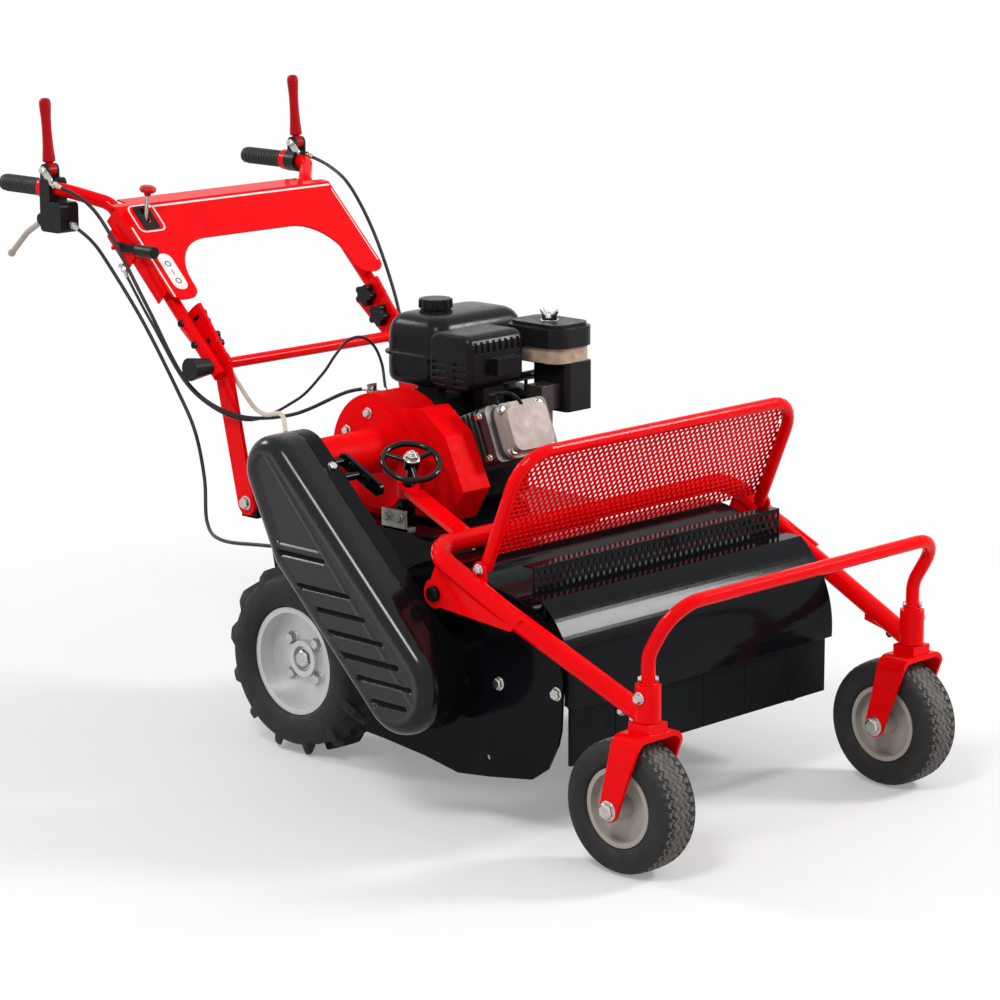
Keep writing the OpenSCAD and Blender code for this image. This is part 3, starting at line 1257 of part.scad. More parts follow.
// brake pivot
brake_x = box_x0 - brake_behind;
brake_z = 908;
brake_pin_d = 7;
brake_eye_d = 18;
brake_eye_w = 14;
brake_lug_r = 11;
brake_d = 11;
brake_mid_by = [-55, -30];
brake_mid = [brake_x, brake_z] + brake_mid_by;
brake_tip_by = [-105, -74];
brake_tip = [brake_x, brake_z] + brake_tip_by;
brake_bend = 60;
brake_ball_d = 15;
module lever_brackets() color(black) {
  both() difference() {
    union() {
      xcyl(grip_y, grip_z, ring_d, -ring_back, -ring_front);
      for (k = [-1, 1]) xz(lever_y + k*(lever_eye_w/2 + slide_gap + lug_t/2) - lug_t/2,
          lever_y + k*(lever_eye_w/2 + slide_gap + lug_t/2) + lug_t/2)
        polygon(concat(arc([lever_x, lever_z], lever_eye_d/2, 0, 180, 10),
            [[lever_x - lever_eye_d/2, grip_z + handle_d/2 + free_gap],
            [lever_x + lever_eye_d/2, grip_z + handle_d/2 + free_gap]]));
      ycyl(lever_x, lever_z, lever_pin_d, lever_y - lever_eye_w/2 - lug_t, lever_y + lever_eye_w/2 + lug_t);
    }
    xcyl(grip_y, grip_z, handle_d + 2*run_gap, -ring_back - cut, cut - ring_front);
  }
  difference() {
    xz(box_y0, box_y1) polygon(concat(arc([box_x0 + box_round, box_top - box_round], box_round, 180, 90, 5),
      arc([-ring_front - box_round, box_top - box_round], box_round, 90, 0, 5),
      [[-ring_front, grip_z - box_drop]], arc([box_x1 - box_round, grip_z - box_drop - box_round],
          box_round, 90, 0, 5),
      arc([box_x1 - box_round, box_z0 + box_round], box_round, 0, -90, 5),
      arc([box_x0 + box_round, box_z0 + box_round], box_round, -90, -180, 5)));
    xcyl(-grip_y, grip_z, handle_d + 2*run_gap, box_x0 - cut, box_x1 + cut);
  }
  for (k = [-1, 1]) xz(-grip_y + k*(brake_eye_w/2 + slide_gap + lug_t/2) - lug_t/2,
      -grip_y + k*(brake_eye_w/2 + slide_gap + lug_t/2) + lug_t/2)
    polygon(concat(arc([brake_x, brake_z], brake_lug_r, 90, 270, 10),
        [[box_x0 + cut, brake_z - brake_lug_r], [box_x0 + cut, brake_z + brake_lug_r]]));
  ycyl(brake_x, brake_z, brake_pin_d, -grip_y - brake_eye_w/2 - lug_t, -grip_y + brake_eye_w/2 + lug_t);
}
module lever() translate([lever_x, lever_y, lever_z]) difference() {
  union() {
    ycyl(0, 0, lever_eye_d, -lever_eye_w/2, lever_eye_w/2);
    rotate([0, lever_lean, 0]) {
      cylinder(d = lever_neck_d, h = lever_neck + cut);
      translate([0, 0, lever_neck]) rotate_extrude()
        polygon([for (q = lever_shares) [q[0]*lever_d, q[1]*(lever_len - lever_neck)]]);
    }
  }
  ycyl(0, 0, lever_pin_d + 2*run_gap, -lever_eye_w, lever_eye_w);
}
module lever_left() color(dark_red) lever();
module lever_right() color(dark_red) mirror([0, 1, 0]) lever();
module brake_lever() color(silver) difference() {
  union() {
    ycyl(brake_x, brake_z, brake_eye_d, -grip_y - brake_eye_w/2, -grip_y + brake_eye_w/2);
    bent_tube([[brake_x, -grip_y, brake_z], [brake_mid[0], -grip_y, brake_mid[1]],
        [brake_tip[0], -grip_y, brake_tip[1]]], brake_bend, brake_d);
    translate([brake_tip[0], -grip_y, brake_tip[1]]) sphere(d = brake_ball_d);
  }
  ycyl(brake_x, brake_z, brake_pin_d + 2*run_gap, -grip_y - brake_eye_w, -grip_y + brake_eye_w);
}
shift_d = 9;
shift_rise = 74;
shift_knob_d = 30;
shift_knob_h = 15;
shift_eye_d = 18;
shift_lean = 9;
module shift_lever() color(red) difference() {
  translate(on_handle(shift_u, -gate_y, shift_w)) {
    ycyl(0, 0, shift_eye_d, slide_gap - cheek_gap, cheek_gap - slide_gap);
    rotate([0, shift_lean, 0]) {
      cylinder(d = shift_d, h = shift_rise);
      translate([0, 0, shift_rise]) cylinder(d1 = shift_d + free_gap, d2 = shift_knob_d,
          h = shift_knob_h/2);
      translate([0, 0, shift_rise + shift_knob_h/2]) cylinder(d = shift_knob_d, h = shift_knob_h/2);
    }
  }
  translate(on_handle(shift_u, -gate_y, shift_w)) ycyl(0, 0, shift_pin_d + 2*run_gap, -2*cheek_gap,
      2*cheek_gap);
}
throttle_at = on_handle(throttle_u, -panel_w/2 - throttle_plate_t, throttle_w);
throttle_arm_t = 5;
throttle_arm = 62;
throttle_arm_h = 18;
throttle_knob_d = 22;
throttle_knob_len = 44;
throttle_knob_out = 9.5;
module throttle_lever() color(black) difference() {
  translate(throttle_at) {
    xz(-throttle_arm_t - 2*slide_gap, -2*slide_gap) polygon(concat(arc([0, 0], throttle_arm_h/2, 90, 270,
        10), [[throttle_arm, -throttle_arm_h/4], [throttle_arm, throttle_arm_h/4]]));
    xcyl(-throttle_knob_out, 0, throttle_knob_d, throttle_arm - free_gap, throttle_arm + throttle_knob_len);
  }
  translate(throttle_at) ycyl(0, 0, throttle_pin_d + 2*run_gap, -4*throttle_arm_t, throttle_arm_t);
}

wheel_d = 108;
wheel_rim_d = 11;
wheel_hub_d = 30;
wheel_hub_h = 16;
wheel_spokes = 3;
wheel_spoke_d = 9;
wheel_nut_d = 20;
wheel_nut_h = 8;
module handwheel() color(black) translate(wheel_at) aim(spin_dir) {
  rotate_extrude() translate([(wheel_d - wheel_rim_d)/2, 0]) circle(d = wheel_rim_d, $fn = 24);
  translate([0, 0, -wheel_hub_h/2]) cylinder(d = wheel_hub_d, h = wheel_hub_h);
  for (i = [0:wheel_spokes - 1]) rotate([0, 90, 360*i/wheel_spokes])
      cylinder(d = wheel_spoke_d, h = (wheel_d - wheel_rim_d)/2);
  translate([0, 0, wheel_hub_h/2]) cylinder(d = wheel_nut_d, h = wheel_nut_h, $fn = 6);
  translate([0, 0, -spindle_len]) cylinder(d = spindle_d, h = spindle_len);
}

// cable routes, points chosen by eye
cable_d = 8;
thin_d = 6;
right_route = [[-ring_front + free_gap, -316, 978], [-500, -304, 950], [-440, -296, 893], [-345, -292, 770],
    [-262, -272, 640], [-170, -240, 590], [-60, -205, 600], [40, -165, 648], [97, -150, 660]];
brake_route = [[box_x1 + free_gap, -300, 905], [-490, -302, 880], [-440, -304, 842], [-350, -300, 745],
    [-272, -290, 630], [-225, -290, 560], [-190, -300, 480], [-150, -330, 410], [-60, -375, 400],
    [60, -388, 412], [165.5, -388, 424]];
throttle_route = [[-425, -272, 815], [-345, -283, 740], [-262, -262, 625], [-160, -225, 580],
    [-40, -190, 640], [10, -130, 705], [0, -80, 730], [20, -75, 680], [61.6, -85, 625]];
left_route = [[-ring_front + 1.5*cut, 316, 978], [-500, 302, 962], [-430, 290, 930], [-360, 284, 850],
    [-300, 280, 740], [-240, 262, 620], [-150, 220, 540], [-80, 190, 480], [-40, 162.3, 425]];
hose_route = [[-228, -200, 659], [-150, -220, 610], [-60, -270, 610], [40, -330, 640], [110, -385, 640],
    [129.3, -390, 619.7]];
module control_cables() color(black) {
  cable(right_route, cable_d);
  cable(brake_route, cable_d);
  cable(throttle_route, thin_d);
  cable(left_route, cable_d);
  cable(hose_route, cable_d);
}

place() {
  chassis_frame();
  deck_body();
  deck_side_plates();
  front_hood();
  screen_plate();
  rotor_bearings();
  belt_guard_cover();
  belt_guard_back();
  drive_belt();
  clutch_housing();
  transmission_case();
  lower_handle();
  engine_block();
  cylinder_head();
  valve_cover();
  muffler();
  air_cleaner();
  carburettor();
  fuel_tank();
  recoil_starter();
  oil_dipstick();
  machine_bolts();
  control_cables();
  fuel_cap();
  front_frame();
  bumper_bar();
  grass_guard_frame();
  grass_guard_mesh();
  caster_fork(-1);  // caster_fork_right
  caster_fork(1);  // caster_fork_left
  caster_tyre(-1);  // caster_tyre_right
  caster_tyre(1);  // caster_tyre_left
  caster_rim(-1);  // caster_rim_right
  caster_rim(1);  // caster_rim_left
  rear_tyre(-1);  // rear_tyre_right
  rear_tyre(1);  // rear_tyre_left
  rear_rim(-1);  // rear_rim_right
  rear_rim(1);  // rear_rim_left
  rotor();
  flail_row(0);  // flail_row_1
  flail_row(1);  // flail_row_2
  rotor_pulley();
  drive_pulley();
  handwheel();
  flap(1);  // flap_1
  flap(2);  // flap_2
  flap(3);  // flap_3
  flap(4);  // flap_4
  flap(5);  // flap_5
  flap(6);  // flap_6
  handle_tubes();
  control_panel();
  hand_grips();
  lever_brackets();
  handle_knobs();
  lever_right();
  lever_left();
  brake_lever();
  shift_lever();
  throttle_lever();
}
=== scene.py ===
# %% [markdown]
# # A walk-behind flail mower
# The solids of the mower come in as a fixed frame: every part is already in its place, in metres, with +X
# forward, +Y to the operator's left and +Z up. This lesson dresses that frame: it gives each part its
# finish, and it makes the pieces again that need a finer shape than a plain solid has, such as the punched
# guard sheet and the tyres.

# %% Load the frame
import math

import bmesh
import bpy
from mathutils import Matrix, Vector
from mathutils.geometry import delaunay_2d_cdt


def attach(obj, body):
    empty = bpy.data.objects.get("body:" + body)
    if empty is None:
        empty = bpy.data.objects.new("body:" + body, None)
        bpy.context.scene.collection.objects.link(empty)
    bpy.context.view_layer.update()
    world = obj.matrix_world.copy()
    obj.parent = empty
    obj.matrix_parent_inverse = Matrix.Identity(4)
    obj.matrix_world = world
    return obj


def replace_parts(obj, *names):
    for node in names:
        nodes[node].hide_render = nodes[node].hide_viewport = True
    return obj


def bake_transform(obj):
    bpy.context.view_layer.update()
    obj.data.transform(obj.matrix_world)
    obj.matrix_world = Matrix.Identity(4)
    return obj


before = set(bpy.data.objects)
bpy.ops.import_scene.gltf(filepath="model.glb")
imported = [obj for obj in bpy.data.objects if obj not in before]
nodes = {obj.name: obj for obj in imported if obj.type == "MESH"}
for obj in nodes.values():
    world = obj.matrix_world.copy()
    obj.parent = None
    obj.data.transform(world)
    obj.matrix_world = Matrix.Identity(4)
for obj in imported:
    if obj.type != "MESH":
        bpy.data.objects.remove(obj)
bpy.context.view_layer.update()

# %% [markdown]
# ## Measuring from the rear axle
# The sizes were taken from the rear axle and the middle plane of the machine, in millimetres. The frame has
# its zero in the middle of the whole box, so one small function turns a workshop size into a place in the
# frame. Every place could be typed in frame metres instead, but then no number would match what a ruler
# says on the machine.

# %% Workshop millimetres to frame metres
ZERO_X, ZERO_Y = 122.5, -37.0


def at(x, y, z):
    return Vector(((x - ZERO_X) / 1000, (y - ZERO_Y) / 1000, z / 1000))


def mm(*sizes):
    return sizes[0] / 1000 if len(sizes) == 1 else [s / 1000 for s in sizes]


print("rear axle is at", tuple(round(v, 4) for v in at(0, 0, 170)))

# %% [markdown]
# ## The camera
# The mower is seen from its front right corner, from eye height and some six metres away, through a long
# lens. A camera is an object with a matrix: its first column points right, the second up and the third
# back, away from what it looks at. A Track To constraint could aim it too, but this view also leans by a
# small roll, and three columns hold all of it.

# %% Camera
CAM_YAW, CAM_PITCH, CAM_ROLL = math.radians(44.479), math.radians(12.304), math.radians(-0.18)
CAM_AT, CAM_LENS = (4463.6, -4283.8, 1769.8), 125.397
level = math.cos(CAM_PITCH)
look = Vector((-math.sin(CAM_YAW) * level, math.cos(CAM_YAW) * level, -math.sin(CAM_PITCH)))
right = Vector((math.cos(CAM_YAW), math.sin(CAM_YAW), 0))
above = right.cross(look)
cos_r, sin_r = math.cos(CAM_ROLL), math.sin(CAM_ROLL)
right, above = cos_r * right + sin_r * above, -sin_r * right + cos_r * above
camera = bpy.data.objects.new("camera", bpy.data.cameras.new("camera"))
bpy.context.collection.objects.link(camera)
camera.data.lens, camera.data.sensor_width = CAM_LENS, 36
camera.data.clip_end = 60
facing = Matrix((right, above, -look)).transposed().to_4x4()
camera.matrix_world = Matrix.Translation(at(*CAM_AT)) @ facing
bpy.context.scene.camera = camera
print("camera stands", round(camera.location.length, 2), "m from the middle of the mower")

# %% [markdown]
# ## Node helpers
# A finish is a small network of shader nodes. The nodes could be placed one by one in the Shader Editor,
# but a script can be read and changed later. Writing each node out takes many lines, so the first helper
# adds a node, sets its sockets and links it in one go. A value that is the same all over goes straight on a
# socket.

# %% Node helpers
def add_node(tree, kind, ins=None, **settings):
    made = tree.nodes.new("ShaderNode" + kind)
    for key, value in settings.items():
        setattr(made, key, value)
    for key, value in (ins or {}).items():
        if isinstance(value, bpy.types.NodeSocket):
            tree.links.new(value, made.inputs[key])
        else:
            made.inputs[key].default_value = value
    return made


def grain(tree, where, scale, low, high, detail=3.0, roughness=0.55):
    cloud = add_node(tree, "TexNoise", {"Vector": where, "Scale": scale, "Detail": detail,
                                        "Roughness": roughness})
    spread = add_node(tree, "MapRange", {0: cloud.outputs[0], 1: 0.3, 2: 0.7, 3: low, 4: high})
    return spread.outputs[0]


def blend_colour(tree, amount, first, second):
    mixed = add_node(tree, "Mix", {0: amount, 6: first, 7: second}, data_type="RGBA")
    return mixed.outputs[2]


def combine(tree, first, second, operation):
    return add_node(tree, "Math", {0: first, 1: second}, operation=operation).outputs[0]


def tint(colour, factor):
    return tuple(min(1.0, c * factor) for c in colour[:3]) + (1.0,)


# %% [markdown]
# ## Pressed, cast and moulded edges
# No real edge is razor sharp, and the thin bright line along an edge tells the eye that a thing is solid. A
# Bevel modifier would round the mesh itself, at the price of many more faces. The Bevel node rounds only
# the shading. How far its normal turns away from the true one also tells where the edges are, and that mask
# lets a finish be a little paler there, where hands and grass rub it.

# %% Edge rounding and edge mask
def soft_edge(tree, radius):
    bevel = add_node(tree, "Bevel", {"Radius": radius}, samples=4)
    geometry = add_node(tree, "NewGeometry")
    agree = add_node(tree, "VectorMath", {0: bevel.outputs[0], 1: geometry.outputs["Normal"]},
                     operation="DOT_PRODUCT")
    edge = add_node(tree, "MapRange", {0: agree.outputs["Value"], 1: 0.97, 2: 0.72, 3: 0.0, 4: 1.0})
    return bevel.outputs[0], edge.outputs[0]


def new_finish(name):
    finish = bpy.data.materials.new(name)
    finish.use_nodes = True
    tree = finish.node_tree
    where = add_node(tree, "TexCoord").outputs["Object"]
    return finish, tree, tree.nodes["Principled BSDF"], where


# %% [markdown]
# ## Finishes
# One function makes every finish of the mower from a few numbers: its colour, how rough it is, how much its
# colour drifts, the size and height of its grain, how worn its edges are, and how much clear coat it has.
# Gloss paint has a coat and a faint orange peel, moulded plastic a fine even grain, rubber a dusty matt
# skin, and zinc is a metal. A network for each finish would repeat the same nodes over and over.

# %% The finish maker
SPECK_SCALE, SHINE_SCALE, DUST_COLOUR = 260, 55, (0.42, 0.39, 0.34, 1)


def make_finish(name, colour, rough, drift=0.12, peel=900, height=0.02, edge=0.0012, wear=0.25, metal=0.0,
                coat=0.0, dust=0.05, worn=None, patch=14, gloss=0.5):
    finish, tree, shader, where = new_finish(name)
    normal, edges = soft_edge(tree, edge)
    patches = grain(tree, where, patch, 0.0, 1.0)
    base = blend_colour(tree, patches, tint(colour, 1 - drift), tint(colour, 1 + drift))
    speck = grain(tree, where, SPECK_SCALE, 0.0, 1.0, detail=6)
    rubbed = combine(tree, combine(tree, edges, speck, "MULTIPLY"), wear, "MULTIPLY")
    base = blend_colour(tree, rubbed, base, worn or tint([c + 0.12 for c in colour], 1.6))
    lying = add_node(tree, "SeparateXYZ", {0: add_node(tree, "NewGeometry").outputs["Normal"]}).outputs[2]
    lying = add_node(tree, "MapRange", {0: lying, 1: 0.2, 2: 1.0, 3: 0.0, 4: dust}).outputs[0]
    base = blend_colour(tree, combine(tree, lying, speck, "MULTIPLY"), base, DUST_COLOUR)
    tree.links.new(base, shader.inputs["Base Color"])
    shine = grain(tree, where, SHINE_SCALE, rough * 0.82, min(1, rough * 1.2))
    tree.links.new(shine, shader.inputs["Roughness"])
    for socket, value in (("Metallic", metal), ("Specular IOR Level", gloss), ("Coat Weight", coat),
                          ("Coat Roughness", 0.08)):
        shader.inputs[socket].default_value = value
    pores = add_node(tree, "TexNoise", {"Vector": where, "Scale": peel, "Detail": 2.0})
    bump = add_node(tree, "Bump", {"Height": pores.outputs[0], "Strength": 0.35, "Distance": mm(height),
                                   "Normal": normal})
    tree.links.new(bump.outputs[0], shader.inputs["Normal"])
    finish.diffuse_color = tuple(colour[:3]) + (1,)
    return finish


# %% [markdown]
# ## A table of looks
# Red and black paint cover the steel, and the rest is rubber, plastic, zinc and bare castings. The colours
# are linear values, so a black paint is well under one hundredth. Each could be a call of its own, but in a
# table they can be compared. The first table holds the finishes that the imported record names, the second
# those that only this scene has.

# %% The finishes by name
SLOT_LOOKS = {
    "red_paint": dict(colour=(0.78, 0.001, 0.003), rough=0.12, drift=0.05, coat=0.02, peel=420, wear=0.02,
                      dust=0.0, gloss=0.05, height=0.008),
    "dark_red": dict(colour=(0.36, 0.002, 0.005), rough=0.28, drift=0.06, coat=0.04, peel=420, wear=0.04,
                     dust=0.0, gloss=0.09),
    "black_paint": dict(colour=(0.0034, 0.0040, 0.0052), rough=0.12, drift=0.08, coat=0.012, peel=380,
                        wear=0.08, dust=0.001, gloss=0.07, height=0.006),
    "guard_plastic": dict(colour=(0.014, 0.0135, 0.013), rough=0.24, drift=0.06, peel=1500, height=0.006,
                          edge=0.0022, wear=0.06, dust=0.004, gloss=0.34),
    "tyre": dict(colour=(0.022, 0.021, 0.021), rough=0.68, height=0.05, wear=0.30, gloss=0.22),
    "rim_paint": dict(colour=(0.58, 0.58, 0.59), rough=0.34, metal=0.35, drift=0.07, coat=0.1, peel=500,
                      wear=0.1),
    "caster_rim": dict(colour=(0.36, 0.33, 0.29), rough=0.48, drift=0.08, wear=0.1, gloss=0.3),
    "flap_rubber": dict(colour=(0.0038, 0.0050, 0.0062), rough=0.50, peel=700, height=0.03, dust=0.006,
                        gloss=0.08),
    "grip_rubber": dict(colour=(0.016, 0.016, 0.017), rough=0.55, peel=1100, height=0.03, gloss=0.25),
    "zinc": dict(colour=(0.52, 0.51, 0.48), rough=0.26, metal=1.0, peel=700, drift=0.14, patch=120,
                 wear=0.2),
    "cast_metal": dict(colour=(0.40, 0.345, 0.31), rough=0.60, metal=0.2, peel=520, height=0.08,
                       drift=0.10, gloss=0.25),
    "engine_black": dict(colour=(0.0048, 0.0048, 0.0060), rough=0.30, drift=0.1, peel=600, height=0.03,
                         wear=0.15, dust=0.004, gloss=0.13),
    "black_plastic": dict(colour=(0.0072, 0.0072, 0.0080), rough=0.34, drift=0.1, peel=1500, wear=0.12,
                          dust=0.006, gloss=0.16),
    "tank_black": dict(colour=(0.0058, 0.0050, 0.0056), rough=0.26, drift=0.1, coat=0.03, peel=420,
                       wear=0.1, dust=0.004, gloss=0.12),
    "orange_plastic": dict(colour=(0.80, 0.17, 0.010), rough=0.42, peel=1200, wear=0.1, gloss=0.25),
    "rotor_steel": dict(colour=(0.10, 0.09, 0.085), rough=0.55, metal=0.7, peel=300, height=0.08,
                        drift=0.25),
    "steel": dict(colour=(0.50, 0.49, 0.48), rough=0.36, metal=1.0, peel=400, drift=0.15),
    "iron": dict(colour=(0.055, 0.052, 0.050), rough=0.55, metal=0.4, peel=420, height=0.10, drift=0.2),
    "belt_rubber": dict(colour=(0.022, 0.021, 0.020), rough=0.70, height=0.05, gloss=0.2),
    "cable_sheath": dict(colour=(0.010, 0.010, 0.011), rough=0.36, peel=1200, edge=0.0005, gloss=0.25),
}
OTHER_LOOKS = {
    "satin_red": dict(colour=(0.74, 0.001, 0.003), rough=0.50, drift=0.05, peel=420, wear=0.02, dust=0.0,
                      gloss=0.03, height=0.008),
    "knob_red": dict(colour=(0.52, 0.002, 0.005), rough=0.24, drift=0.05, wear=0.05, dust=0.0, gloss=0.25),
    # dark_cast turns a pale grey along its edges, much more than the other finishes.
    "dark_cast": dict(colour=(0.075, 0.070, 0.068), rough=0.42, metal=0.7, peel=520, height=0.08,
                      drift=0.15, wear=0.5, worn=(0.5, 0.47, 0.44, 1)),
    "wheel_black": dict(colour=(0.004, 0.004, 0.005), rough=0.08, drift=0.05, peel=300, height=0.003,
                        wear=0.05, dust=0.0, gloss=0.24),
    "gear_grey": dict(colour=(0.16, 0.16, 0.165), rough=0.46, metal=0.4, peel=420, height=0.09, wear=0.3,
                      gloss=0.3),
    "dull_plate": dict(colour=(0.30, 0.30, 0.27), rough=0.50, metal=0.85, peel=420, height=0.06,
                       drift=0.25, patch=60),
    "tread_grey": dict(colour=(0.115, 0.106, 0.098), rough=0.80, peel=600, height=0.06, drift=0.3,
                       patch=90, wear=0.4, dust=0.1, gloss=0.2),
    # painted_groove_shade: a near-black matte, painted shade for the bottoms of the belt guard's grooves.
    "painted_groove_shade": dict(colour=(0.004, 0.004, 0.004), rough=0.6, drift=0.1, peel=1500, wear=0.0,
                         dust=0.0, gloss=0.08),
    # polished_border_shade: the guard plastic made glossier, and painted darker than the face as painted
    # shade.
    "polished_border_shade": dict(colour=(0.0040, 0.0042, 0.0050), rough=0.15, drift=0.06, height=0.004,
                         edge=0.0022, wear=0.04, dust=0.001, gloss=0.26),
    "hose_cream": dict(colour=(0.55, 0.48, 0.36), rough=0.5, wear=0.0),
    "white_line": dict(colour=(0.80, 0.79, 0.77), rough=0.40, drift=0.04, wear=0.0, dust=0.0, gloss=0.25),
    "mark_grey": dict(colour=(0.10, 0.10, 0.11), rough=0.45, drift=0.05, wear=0.0, dust=0.0, gloss=0.25),
    "filter_band": dict(colour=(0.42, 0.33, 0.25), rough=0.5, drift=0.22, patch=60, peel=700, wear=0.0,
                        gloss=0.3),
}
FINISHES = {name: make_finish(name, **look) for name, look in {**SLOT_LOOKS, **OTHER_LOOKS}.items()}
NODE_FINISH = {"cylinder_head": "dark_cast", "carburettor": "dark_cast", "handwheel": "wheel_black",
               "transmission_case": "gear_grey", "clutch_housing": "satin_red"}
print("finishes:", len(FINISHES))

# %% [markdown]
# ## Painting the solids
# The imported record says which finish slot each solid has. The slot's own name picks the finish, so a
# repaint of one slot repaints every part that wears it. Picking materials by hand would have to be done
# again after each change of the solids. A few parts look unlike the rest of their slot and get a finish of
# their own.

# %% Dress the solids
for name, solid in nodes.items():
    for holder in solid.material_slots:
        holder.material = FINISHES[NODE_FINISH.get(name, holder.material.name.split(".")[0])]
print("dressed", len(nodes), "solids")

# %% [markdown]
# ## Three ways to make a mesh
# Nearly every piece below is one of three things: a profile turned round an axis, as on a lathe; a ring
# carried along a line, as a tube bender does; or a heap of small parts, such as bolts, that one mesh can
# hold. Blender's Screw modifier and its curves do the first two as well. Here all of them are rings of
# points, so one helper makes the faces between rings that follow each other, and each ring can be changed
# on its own. The last helper turns points and faces into an object that rides on a body.

# %% Mesh helpers
def frame_axes(direction):
    ahead = Vector(direction).normalized()
    side = ahead.cross(Vector((0.31, 0.22, 0.92))).normalized()
    return ahead, side, ahead.cross(side)


def skin(rows, steps, ends=True):
    faces = []
    for j in range(rows - 1):
        for k in range(steps):
            n = (k + 1) % steps
            faces.append((j * steps + k, j * steps + n, (j + 1) * steps + n, (j + 1) * steps + k))
    if ends:
        faces += [tuple(range(steps - 1, -1, -1)), tuple((rows - 1) * steps + k for k in range(steps))]
    return faces


def on_circle(side, other, share):
    turn = 2 * math.pi * share
    return side * math.cos(turn) + other * math.sin(turn)


def turned(profile, base, direction, steps=48, loop=False):
    ahead, side, other = frame_axes(direction)
    points = [base + ahead * mm(along) + on_circle(side, other, k / steps) * mm(radius)
              for along, radius in profile for k in range(steps)]
    faces = skin(len(profile), steps, not loop)
    if loop:
        last = (len(profile) - 1) * steps
        faces += [(last + k, last + (k + 1) % steps, (k + 1) % steps, k) for k in range(steps)]
    return points, faces


def carried(line, radius, sides=12):
    points = []
    side = frame_axes(line[1] - line[0])[1]
    for j, here in enumerate(line):
        ahead = (line[min(j + 1, len(line) - 1)] - line[max(j - 1, 0)]).normalized()
        side = (side - ahead * side.dot(ahead)).normalized()
        other = ahead.cross(side)
        size = radius(j / (len(line) - 1)) if callable(radius) else radius
        points += [here + on_circle(side, other, k / sides) * size for k in range(sides)]
    return points, skin(len(line), sides)


def heap(*parts):
    points, faces = [], []
    for more_points, more_faces in parts:
        start = len(points)
        points += list(more_points)
        faces += [tuple(start + i for i in face) for face in more_faces]
    return points, faces


def new_piece(name, part, finish, body=None, sharp=38):
    data = bpy.data.meshes.new(name)
    data.from_pydata([tuple(p) for p in part[0]], [], part[1])
    tidy = bmesh.new()
    tidy.from_mesh(data)
    bmesh.ops.remove_doubles(tidy, verts=tidy.verts, dist=1e-6)
    bmesh.ops.recalc_face_normals(tidy, faces=tidy.faces)
    tidy.to_mesh(data)
    tidy.free()
    data.shade_smooth()
    data.set_sharp_from_angle(angle=math.radians(sharp))
    data.materials.append(FINISHES[finish])
    piece = bpy.data.objects.new(name, data)
    bpy.context.collection.objects.link(piece)
    if body:
        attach(piece, body)
    print(name, len(data.vertices), "points")
    return piece


# %% [markdown]
# ## Cables and hose
# Four sheathed cables run from the handle to the engine, the clutch and the brake, and a pale hose lies
# beside them. Each is a smooth curve through a few points. A curve object with a round bevel would look the
# same. A formula is used because the length of its line can be measured, and because its points say where
# the cable lies.

# %% Smooth lines
def eased(stops, steps):
    line = []
    for i in range(len(stops) - 1):
        a, b, c, d = stops[max(i - 1, 0)], stops[i], stops[i + 1], stops[min(i + 2, len(stops) - 1)]
        for k in range(steps):
            f = k / steps
            line.append(0.5 * (2 * b + (c - a) * f + (2 * a - 5 * b + 4 * c - d) * f * f
                               + (3 * b - a - 3 * c + d) * f ** 3))
    return line + [stops[-1]]


def smooth_line(stops, steps=10):
    return eased([at(*p) for p in stops], steps)


# %% [markdown]
# ## Cable routes
# A route is a list of places that the cable passes. The handle tilts, so a cable runs between two bodies,
# and riding on one body would tear it off the other; the cables are left on no body here. The hose has both
# ends on the machine and stays with it.

# %% Cables
ROUTES = {
    "clutch_cable_right": (6.6, [
        (-582, -316, 978), (-500, -304, 950), (-440, -296, 893), (-345, -292, 770), (-262, -272, 640),
        (-170, -240, 590), (-60, -205, 600), (40, -165, 648), (97, -150, 660)]),
    "brake_cable": (6.6, [
        (-550, -300, 905), (-490, -302, 880), (-440, -304, 842), (-350, -300, 745), (-272, -290, 630),
        (-225, -290, 560), (-190, -300, 480), (-150, -330, 410), (-60, -375, 400), (60, -388, 412),
        (165.5, -388, 424)]),
    "throttle_cable": (5.2, [
        (-425, -272, 815), (-345, -283, 740), (-262, -262, 625), (-160, -225, 580), (-60, -196, 624),
        (-20, -168, 672), (-6, -148, 706), (2, -124, 731), (10, -95, 734), (18, -73, 714), (29, -67, 684),
        (43, -74, 653), (61.6, -85, 625)]),
    "clutch_cable_left": (6.6, [
        (-582.5, 316, 978), (-500, 302, 962), (-430, 290, 930), (-360, 284, 850), (-300, 280, 740),
        (-240, 262, 620), (-150, 220, 540), (-80, 190, 480), (-40, 162.3, 425)]),
    "breather_hose": (8, [
        (-228, -200, 659), (-150, -220, 610), (-60, -270, 610), (8, -308, 625), (64, -345, 638),
        (104, -372, 640), (129.3, -390, 619.7)]),
}
for name, (thick, stops) in ROUTES.items():
    line = smooth_line(stops)
    finish = "hose_cream" if name == "breather_hose" else "cable_sheath"
    cable = new_piece(name, carried(line, mm(thick / 2)), finish)
    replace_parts(cable, "control_cables")
    if name == "breather_hose":
        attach(cable, "machine")
    else:
        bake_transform(cable)

# %% [markdown]
# ## Ribbed grips
# A rubber grip is moulded with rings that stop the hand from slipping. A smooth cylinder with a bump
# texture would be lighter, but its outline would stay straight, and it is at the outline that rings show.
# So it is a turned shape: the profile goes up and down once for every ring, with a collar at the inner end
# and a closed round end.

